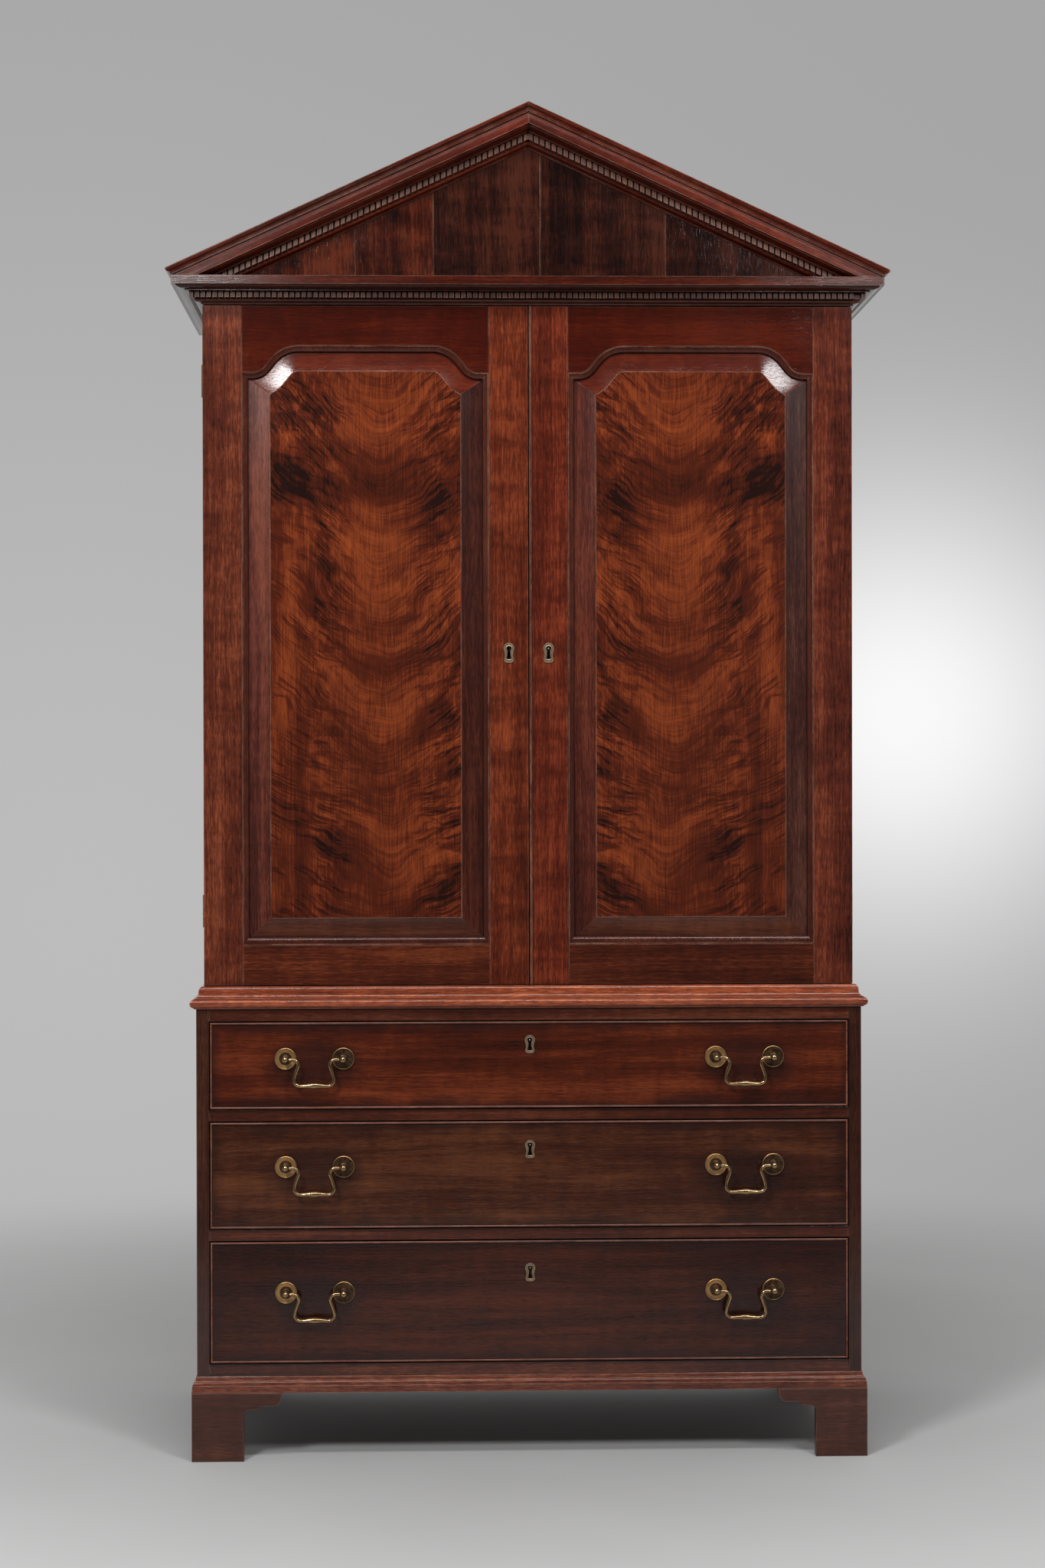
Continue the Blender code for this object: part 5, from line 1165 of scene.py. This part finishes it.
def make_panel(name, centre_x, body, node):
    """The fielded panel, with the flame veneer on its field and plain wood on its bevels."""
    tongue = (-0.007, -0.007, -0.007)
    field = (0.0480, 0.0436, 0.0465)
    crown = tuple(value + 0.0012 for value in field)
    levels = ((0.017, tongue), (0.011, tongue), (0.011, MOULDING_WIDTHS), (BEVEL_END, field),
              (FIELD_EDGE, field), (FIELD, crown))
    item = ringed(name, [opening_ring(centre_x, level, *inset) for level, inset in levels])
    finished(item, body, "flame", node, smooth=14.0)

    def depth(face):
        return face.center.y - DOOR_FACE_Y

    def on_bevel(face, side):
        off = side * (face.center.x - centre_x)
        return depth(face) > FIELD_EDGE and abs(face.normal.z) < 0.05 and off > OPENING_HALF - field[0]

    word = body.split("_")[0]
    # Lit and shaded copies of one wood on the bevels, by which way they face: painted light and shade
    paint_faces(item, "bevel_head", lambda face: depth(face) > FIELD_EDGE)
    paint_faces(item, "bevel_foot", lambda face: depth(face) > FIELD_EDGE
                and face.center.z < DOOR_BOTTOM + 0.2)
    for side, bevel in SIDES:
        paint_faces(item, f"bevel_{word}_{bevel}", lambda face: on_bevel(face, side))
    paint_faces(item, "field_edge", lambda face: FIELD + 0.0001 < depth(face) < BEVEL_END - 0.0002)


def make_panel_moulding(name, centre_x, body, node):
    """Lip, quirk and quarter round that follow the opening."""
    top, low = 0.0005, 0.0107
    lip, quirk, foot = 0.16, top + (low - top) * 0.20, low - (low - top) * 0.22
    section = [(0.0, low), (0.0, top)] + quarter((lip * 0.7, top), (lip, top + 0.0006), True, 3)
    section += [(lip, quirk)] + quarter((lip + 0.02, quirk), (1.0, foot), True) + [(1.0, low)]
    rings = []
    for share, depth in section:
        insets = [SEAT + (width - SEAT) * share for width in MOULDING_WIDTHS]
        rings.append(opening_ring(centre_x, depth, *insets))
    finished(ringed(name, rings, closed=True), body, "panel_bead", node)


# Keyholes: right halves from the top down, as shares of the half width and half height
PLATE_HALF = ((0.0, 1.0), (0.45, 0.94), (0.80, 0.78), (0.99, 0.56), (0.98, 0.36), (0.87, 0.13),
              (0.78, -0.08), (0.77, -0.28), (0.85, -0.50), (0.92, -0.68), (0.84, -0.86), (0.50, -0.98),
              (0.0, -1.0))
HOLE_HALF = ((0.0, 1.0), (0.42, 0.97), (0.82, 0.88), (1.0, 0.72), (0.98, 0.57), (0.78, 0.40),
             (0.63, 0.20), (0.62, -0.10), (0.74, -0.42), (0.95, -0.74), (0.95, -0.90), (0.60, -0.99),
             (0.0, -1.0))
HOLE_SIZE = (0.0041, 0.0114)
PLATE_SIZE = (0.00885, 0.016)
POCKET_SHARE = 0.82
POCKET_DEPTH = 0.0085
BORE_RADIUS = 0.0063
BORE_DROP = 0.0035


def keyhole_place(node):
    """Middle of the plate in X and Z, and its half width and half height."""
    low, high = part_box(node)
    centre_x = (low.x + high.x) / 2
    if "drawer" in node:
        return centre_x, high.z - PLATE_SIZE[1], *PLATE_SIZE
    low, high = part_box("left_door_escutcheon")
    return centre_x, (low.z + high.z) / 2, (high.x - low.x) / 2, (high.z - low.z) / 2


def keyhole_outline(x, z, half_width, half_height, share, steps=3):
    """An outline between the plate's edge (share 0) and the keyhole's edge (share 1)."""
    plate, hole = smooth_line(PLATE_HALF, steps), smooth_line(HOLE_HALF, steps)
    half = []
    for outer, inner in zip(plate, hole):
        outer = Vector((outer[0] * half_width, outer[1] * half_height))
        inner = Vector((inner[0] * HOLE_SIZE[0], inner[1] * HOLE_SIZE[1]))
        half.append(outer.lerp(inner, share))
    whole = [(px, pz) for px, pz in half] + [(-px, pz) for px, pz in half[-2:0:-1]]
    return [(x + px, z + pz) for px, pz in whole]


def keyhole_tool(x, z, half_width, half_height, face_y):
    """A pocket in the wood for the liner of a keyhole."""
    clear = 0.004
    outline = keyhole_outline(x, z, half_width, half_height, POCKET_SHARE)
    points = [(px, face_y - clear, pz) for px, pz in outline]
    return extruded("keyhole_pocket", points, (0.0, POCKET_DEPTH + clear, 0.0))


class PRESS_OT_doors(bpy.types.Operator):
    """Make the panels and their mouldings and finish the door frames"""
    bl_idname = "press.doors"
    bl_label = "Doors"

    def execute(self, context):
        arris = context.scene.press_sizes.arris
        for side, word in SIDES:
            door = word + "_door"
            centre = side * (UPPER_HALF + MEETING_GAP) / 2
            make_panel(door + "_fielded_panel", centre, door, door + "_panel")
            make_panel_moulding(door + "_opening_moulding", centre, door, door + "_panel_moulding")
            for role, finish, slot in (("hinge_stile", "hinge_" + word, "door_frame_mahogany"),
                                       ("meeting_stile", "meeting_" + word, "door_frame_mahogany"),
                                       ("bottom_rail", "rail_" + word, "door_frame_mahogany"),
                                       ("top_rail", "top_rail_level", "door_rail_mahogany")):
                node = f"{door}_{role}"
                hinged = role == "hinge_stile"
                item = node_copy(node, node + "_wood", whole=not hinged)
                if not hinged:
                    rounded(item, arris / 2)
                if role == "meeting_stile":
                    lock = "left_door_escutcheon" if side < 0 else "right_door_lock"
                    cut_from(item, keyhole_tool(*keyhole_place(lock), DOOR_FACE_Y))
                finished(item, door, finish, node, smooth=8.0)
                if hinged:
                    paint_knuckles(item)
        node = "right_door_astragal"
        finished(node_copy(node, node + "_strip"), "right_door", "astragal", node)
        return {"FINISHED"}


# Drawers

BEAD_DEPTH = 0.012
BEAD_STEPS = 8


def corners(low, high, inset, depth):
    """Corners of a drawer front set in from its edges, at a depth behind the case's front."""
    return [Vector((x, LOWER_FRONT_Y + depth, z)) for x, z in (
        (low.x + inset, low.z + inset), (high.x - inset, low.z + inset),
        (high.x - inset, high.z - inset), (low.x + inset, high.z - inset))]


def make_cock_bead(name, low, high, sizes, body, node):
    """The bead let into the four edges of a drawer front, with mitred corners."""
    radius, proud = sizes.cock_bead_width / 2, sizes.cock_bead_projection
    section = [(0.0, BEAD_DEPTH)]
    for step in range(BEAD_STEPS + 1):
        angle = math.radians(180) * step / BEAD_STEPS
        section.append((radius - radius * math.cos(angle), radius * (1 - math.sin(angle)) - proud))
    section.append((2 * radius, BEAD_DEPTH))
    item = ringed(name, [corners(low, high, inset, depth) for inset, depth in section], closed=True)
    finished(item, body, "cock_bead", node)


class PRESS_OT_drawers(bpy.types.Operator):
    """Make the drawer fronts with their cock beads"""
    bl_idname = "press.drawers"
    bl_label = "Drawers"

    def execute(self, context):
        sizes = context.scene.press_sizes
        for number in DRAWERS:
            body = f"drawer_{number}"
            node = body + "_front"
            low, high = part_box(node)
            inset = sizes.cock_bead_width - 0.0002
            start = corners(low, high, inset, 0.0)[0]
            end = corners(low, high, inset, high.y - LOWER_FRONT_Y)[2]
            past = Vector((0.0, 0.01, 0.0))
            board = block(node + "_board", start, end)
            place = keyhole_place(body + "_lock")
            bore = [Vector((place[0], y, place[1] - BORE_DROP)) for y in (LOWER_FRONT_Y, high.y)]
            cut_from(board, rod("keyhole_bore", BORE_RADIUS, bore[0] - past, bore[1] + past))
            cut_from(board, keyhole_tool(*place, LOWER_FRONT_Y))
            finished(board, body, body, node)
            edge = block(node + "_edge", (low.x, LOWER_FRONT_Y + BEAD_DEPTH + 0.0005, low.z), high)
            cut_from(edge, block("front_core", start, end + past))
            finished(edge, body, "case_level", node)
            make_cock_bead(body + "_cock_bead", low, high, sizes, body, node)
        return {"FINISHED"}


# Brasses

# Half a bail from its pin to the middle of its grip: mm from the middle, mm down, radius in mm
BAIL_HALF = (
    (47.6, 0.0, 1.7), (45.6, 0.0, 1.7), (44.3, 0.0, 1.75), (43.3, 0.0, 2.7), (40.0, -0.2, 3.0),
    (36.2, -0.1, 3.1), (32.0, 1.1, 3.2), (28.9, 3.7, 3.2), (27.2, 7.2, 3.1), (27.1, 10.8, 3.1),
    (28.6, 15.5, 3.0), (30.6, 21.0, 3.0), (32.6, 26.8, 3.0), (33.9, 32.5, 3.0), (34.0, 37.2, 3.1),
    (32.4, 41.3, 3.2), (29.0, 44.3, 3.2), (24.6, 45.7, 3.1), (19.0, 45.6, 3.3), (13.0, 45.2, 3.8),
    (8.0, 45.0, 4.4), (6.6, 45.0, 4.6), (6.0, 45.0, 5.1), (3.0, 44.9, 5.25), (0.0, 44.9, 5.3),
)


def make_bail(name, centre, sizes, body, node):
    """A swan-neck bail: a bent wire that swells to a baluster grip."""
    put_down()
    bpy.ops.curve.primitive_nurbs_path_add(location=(0.0, 0.0, 0.0))
    item = bpy.context.object
    item.name = name
    half = [point / 1000 for point in smooth_line(BAIL_HALF, 3)]
    points = [(-x, drop, radius) for x, drop, radius in half]
    points += [(x, drop, radius) for x, drop, radius in half[-2::-1]]
    curve = item.data
    spline = curve.splines[0]
    spline.points.add(len(points) - len(spline.points))
    spline.order_u = 3
    spline.use_endpoint_u = True
    for point, (x, drop, radius) in zip(spline.points, points):
        point.co = (centre.x + x, centre.y, centre.z - drop, 1.0)
        point.radius = radius / sizes.wire_radius
    curve.resolution_u = 2
    curve.bevel_depth = sizes.wire_radius
    curve.bevel_resolution = 5
    curve.use_fill_caps = True
    take_up(item)
    bpy.ops.object.convert(target="MESH")
    item = bpy.context.object
    edit_all(item)
    close_up(item)
    finished(item, body, "brass", node, smooth=60.0)


def rose_profile(sizes):
    """Rose with a raised rim and a dished field, from its back to its middle."""
    rose = sizes.rose_radius
    profile = [(0.0002, 0.0), (0.0002, rose - 0.0004), (0.0010, rose), (0.0026, rose)]
    profile += [(0.0034, rose - 0.0004), (0.0037, rose - 0.0010), (0.0034, rose - 0.0017)]
    profile += [(0.0024, rose - 0.0023), (0.0019, rose - 0.0045), (0.0016, rose - 0.0080)]
    return profile + [(0.0017, 0.0076), (0.0026, 0.0066), (0.0038, 0.0060), (0.0044, 0.0046), (0.0046, 0.0)]


def post_profile(sizes):
    """Neck and ball of a handle's post, from the rose's middle to its tip."""
    ball = sizes.ball_radius
    profile = [(0.0048, 0.0), (0.0048, 0.0040), (0.0070, 0.0034), (0.0115, 0.0034), (0.0135, 0.0040)]
    reach, steps = 0.021, 13
    for step in range(1, steps):
        angle = math.radians(38 + 142 * step / steps)
        profile.append((reach - ball * math.cos(angle), ball * math.sin(angle)))
    return profile + [(reach + ball, 0.0)]


# Places of a handle's posts and of the sockets in them, out from the handle's middle
POST_SPREAD = 0.05
SOCKET_START = 0.040
SOCKET_DEPTH = 0.0082
SOCKET_RADIUS = 0.0021


class PRESS_OT_handles(bpy.types.Operator):
    """Make the roses, posts and bails of the six handles"""
    bl_idname = "press.handles"
    bl_label = "Handles"

    def execute(self, context):
        sizes = context.scene.press_sizes
        for number in DRAWERS:
            for _, word in SIDES:
                node = f"drawer_{number}_bail_{word}"
                low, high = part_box(node)
                pin = Vector(((low.x + high.x) / 2, (low.y + high.y) / 2, handle_height(number)))
                make_bail(node + "_wire", pin, sizes, f"drawer_{number}_handle_{word}", node)
                self.make_post(number, word, "a", -1, pin, sizes)
                self.make_post(number, word, "b", 1, pin, sizes)
        return {"FINISHED"}

    @staticmethod
    def make_post(number, word, end, side, pin, sizes):
        """A rose and its post, bored for the end of the bail."""
        body = f"drawer_{number}"
        centre = Vector((pin.x + side * POST_SPREAD, LOWER_FRONT_Y, pin.z))
        rose = turned(f"{body}_{word}_rose_{end}", rose_profile(sizes), centre, sizes.turning_steps)
        # Painted reflection and shade: the outer ring is lit gold, wide on the left rose and a thin rim on
        # the right, and the dish inside is dark
        finished(rose, body, "rose_dark", body + "_front", smooth=40.0)
        bright = sizes.rose_radius * (0.63 if end == "a" else 0.93)
        paint_faces(rose, "rose_gold", lambda face: (face.center - centre).xz.length > bright)
        post = turned(f"{body}_{word}_post_{end}", post_profile(sizes), centre, sizes.turning_steps)
        socket = pin + Vector((side * SOCKET_START, 0.0, 0.0))
        bottom = socket + Vector((side * SOCKET_DEPTH, 0.0, 0.0))
        cut_from(post, rod("pin_socket", SOCKET_RADIUS, socket, bottom, 16))
        finished(post, body, "brass", body + "_front", smooth=40.0)


# Depth of a lock behind the wood's face, and the pin on which the key turns
LOCK_SETBACK = 0.0092
PIN_RISE = 0.0072
PIN_RADIUS = 0.0017


class PRESS_OT_locks(bpy.types.Operator):
    """Make the thread escutcheons and finish the locks behind them"""
    bl_idname = "press.locks"
    bl_label = "Locks"

    def execute(self, context):
        locks = [("left_door_escutcheon", "left_door"), ("right_door_lock", "right_door")]
        locks += [(f"drawer_{number}_lock", f"drawer_{number}") for number in DRAWERS]
        for node, body in locks:
            face_y = DOOR_FACE_Y if "door" in node else LOWER_FRONT_Y
            rear = node_copy(node, node + "_case")
            edit_all(rear)
            bpy.ops.mesh.bisect(plane_co=(0.0, face_y + LOCK_SETBACK, 0.0), plane_no=(0.0, -1.0, 0.0),
                                use_fill=True, clear_outer=True)
            close_up(rear)
            finished(rear, body, "brass", node)
            self.make_plate(node, body, keyhole_place(node), face_y)
        return {"FINISHED"}

    @staticmethod
    def make_plate(node, body, place, face_y):
        """A thread escutcheon: a rounded rim that steps down to the liner of the keyhole."""
        section = ((0.0, -0.0003), (0.0, -0.0011), (0.07, -0.0015), (0.26, -0.0015), (0.36, -0.0009),
                   (0.74, -0.0008), (0.86, -0.0012), (0.96, -0.0009), (1.0, -0.0002), (1.0, 0.0058),
                   (0.86, 0.0058), (0.86, -0.0003))
        rings = []
        for share, depth in section:
            outline = keyhole_outline(*place, share)
            rings.append([Vector((x, face_y + depth, z)) for x, z in outline])
        item = ringed(node + "_plate", rings, closed=True)
        finished(item, body, "thread", node, smooth=35.0)
        paint_faces(item, "thread_dull", lambda face: (
            -0.0010 < face.center.y - face_y < -0.0007 or face.center.y > face_y))
        if node != "left_door_escutcheon":
            x, z = place[0], place[1] + PIN_RISE
            pin = rod(node + "_pin", PIN_RADIUS, (x, face_y + 0.0088, z), (x, face_y + 0.0002, z), 20)
            rounded(pin, 0.0010, segments=3)
            finished(pin, body, "thread", node, smooth=60.0)


# Stage

# Camera fitted to the photograph: focal length as a share of the picture's height, place and turns
SENSOR = 36.0
FOCAL_SHARE = 3760.0 / 2048.0
CAMERA_PLACE = (-0.165, DOOR_FACE_Y - 5.0, 1.202)
CAMERA_YAW = math.radians(-1.76)
CAMERA_PITCH = math.radians(-0.37)
CAMERA_ROLL = math.radians(-0.12)

# Lights as name, place, target, width and height
LIGHTS = (
    ("left", (-1.6, -3.3, 3.1), (-0.1, 0.0, 1.2), 0.7, 0.7),
    ("right", (1.65, -3.3, 3.1), (0.1, 0.0, 1.2), 0.7, 0.7),
    ("upper", (0.0, -2.6, 4.4), (0.0, 0.0, 1.2), 3.2, 0.5),
)

# Painted glows of light on the background: level and upright direction, spread and strength
GLOWS = ((0.163, 0.0185, 0.055, 0.55), (-0.12, -0.05, 0.16, 0.13))


class PRESS_OT_stage(bpy.types.Operator):
    """Set the floor, the background, the lights and the camera"""
    bl_idname = "press.stage"
    bl_label = "Stage"

    def execute(self, context):
        settings = context.scene.press_stage
        self.make_floor(settings)
        self.make_world(settings)
        for name, place, target, width, height in LIGHTS:
            light = bpy.data.lights.new(name + "_light", "AREA")
            light.shape = "RECTANGLE"
            light.size, light.size_y = width, height
            light.energy = getattr(settings, name + "_power")
            item = bpy.data.objects.new(name + "_light", light)
            context.scene.collection.objects.link(item)
            item.location = place
            item.rotation_euler = (Vector(target) - Vector(place)).to_track_quat("-Z", "Y").to_euler()
        self.make_camera()
        context.scene.view_settings.view_transform = "Standard"
        return {"FINISHED"}

    @staticmethod
    def make_floor(settings):
        put_down()
        bpy.ops.mesh.primitive_circle_add(vertices=96, radius=14.0, fill_type="NGON")
        floor = named("floor")
        tree, shader, coordinate = new_material("floor_paper")
        away = vector_math("LENGTH", coordinate, (0.0, 0.0, 0.0), "Value")
        grey = settings.floor_grey
        mottled = remap(noise(coordinate, 3.0, 3.0), 0.3, 0.7, grey - 0.01, grey + 0.01)
        # Painted light: the floor's colour is paler away from the press
        set_inputs(shader, Base_Color=mottled + remap(away, 0.4, 1.8, 0.0, 0.22), Roughness=0.75,
                   Specular_IOR_Level=0.2)
        clear = add_node(tree, "ShaderNodeBsdfTransparent")
        fade = add_node(tree, "ShaderNodeMixShader", _0=remap(away, 1.3, 3.2, smooth=True),
                        _1=Value(shader.outputs[0]), _2=clear)
        set_inputs(tree.nodes["Material Output"], Surface=fade)
        floor.data.materials.append(bpy.data.materials["floor_paper"])

    @staticmethod
    def make_world(settings):
        world = bpy.data.worlds.new("studio")
        bpy.context.scene.world = world
        world.use_nodes = True
        tree = world.node_tree
        tree.nodes.clear()
        camera = add_node(tree, "ShaderNodeLightPath", "Is Camera Ray")
        ray = camera.math("MAXIMUM", camera["Is Glossy Ray"].math("MAXIMUM", camera["Is Transmission Ray"]))
        direction = separated(add_node(tree, "ShaderNodeTexCoord", "Generated"))
        across, inwards, up = direction["X"], direction["Y"], direction["Z"]
        shown = settings.background_grey
        for x, z, spread, strength in GLOWS:
            glow_x, glow_z = (across - x) / spread, (up - z) / spread
            far = glow_x * glow_x + glow_z * glow_z
            shown = (far * -0.5).math("EXPONENT") * strength + shown
        shown *= camera.math("MAXIMUM", remap(inwards, -0.9, 0.3, 0.2, 1.0))
        low = remap(abs(up), 0.08, 0.45, 0.5, 0.0)
        ambient = low * remap(inwards, 0.3, 0.8) + remap(inwards, -1.0, 0.3, 0.03, 0.34)
        seen, lit = (add_node(tree, "ShaderNodeBackground", Color=grey) for grey in (shown, ambient))
        both = add_node(tree, "ShaderNodeMixShader", _0=ray, _1=lit, _2=seen)
        set_inputs(tree.nodes.new("ShaderNodeOutputWorld"), Surface=both)

    @staticmethod
    def make_camera():
        data = bpy.data.cameras.new("camera")
        data.sensor_width = SENSOR
        data.lens = SENSOR * FOCAL_SHARE
        data.clip_end = 100.0
        camera = bpy.data.objects.new("camera", data)
        bpy.context.scene.collection.objects.link(camera)
        turn = Matrix.Rotation(CAMERA_YAW, 4, "Z") @ Matrix.Rotation(math.radians(90) + CAMERA_PITCH, 4, "X")
        roll = Matrix.Rotation(CAMERA_ROLL, 4, "Z")
        camera.matrix_world = Matrix.Translation(CAMERA_PLACE) @ turn @ roll
        bpy.context.scene.camera = camera


STEPS = (PRESS_OT_finishes, PRESS_OT_boards, PRESS_OT_case_mouldings, PRESS_OT_cornice,
         PRESS_OT_pediment, PRESS_OT_doors, PRESS_OT_drawers, PRESS_OT_handles, PRESS_OT_locks,
         PRESS_OT_stage)


class PRESS_PT_panel(bpy.types.Panel):
    """The steps that dress the press"""
    bl_idname = "PRESS_PT_panel"
    bl_label = "Linen Press"
    bl_space_type = "VIEW_3D"
    bl_region_type = "UI"
    bl_category = "Linen Press"

    def draw(self, context):
        for step in STEPS:
            self.layout.operator(step.bl_idname)
        for group in (context.scene.press_sizes, context.scene.press_colours, context.scene.press_stage):
            box = self.layout.box()
            for name in group.bl_rna.properties.keys():
                if name not in {"rna_type", "name"}:
                    box.prop(group, name)


CLASSES = (PressSizes, PressColours, StageSettings, *STEPS, PRESS_PT_panel)


def register():
    for item in CLASSES:
        bpy.utils.register_class(item)
    bpy.types.Scene.press_sizes = PointerProperty(type=PressSizes)
    bpy.types.Scene.press_colours = PointerProperty(type=PressColours)
    bpy.types.Scene.press_stage = PointerProperty(type=StageSettings)


def unregister():
    del bpy.types.Scene.press_stage
    del bpy.types.Scene.press_colours
    del bpy.types.Scene.press_sizes
    for item in reversed(CLASSES):
        bpy.utils.unregister_class(item)


def main():
    register()
    for step in STEPS:
        family, action = step.bl_idname.split(".")
        getattr(getattr(bpy.ops, family), action)()


if __name__ == "__main__":
    main()
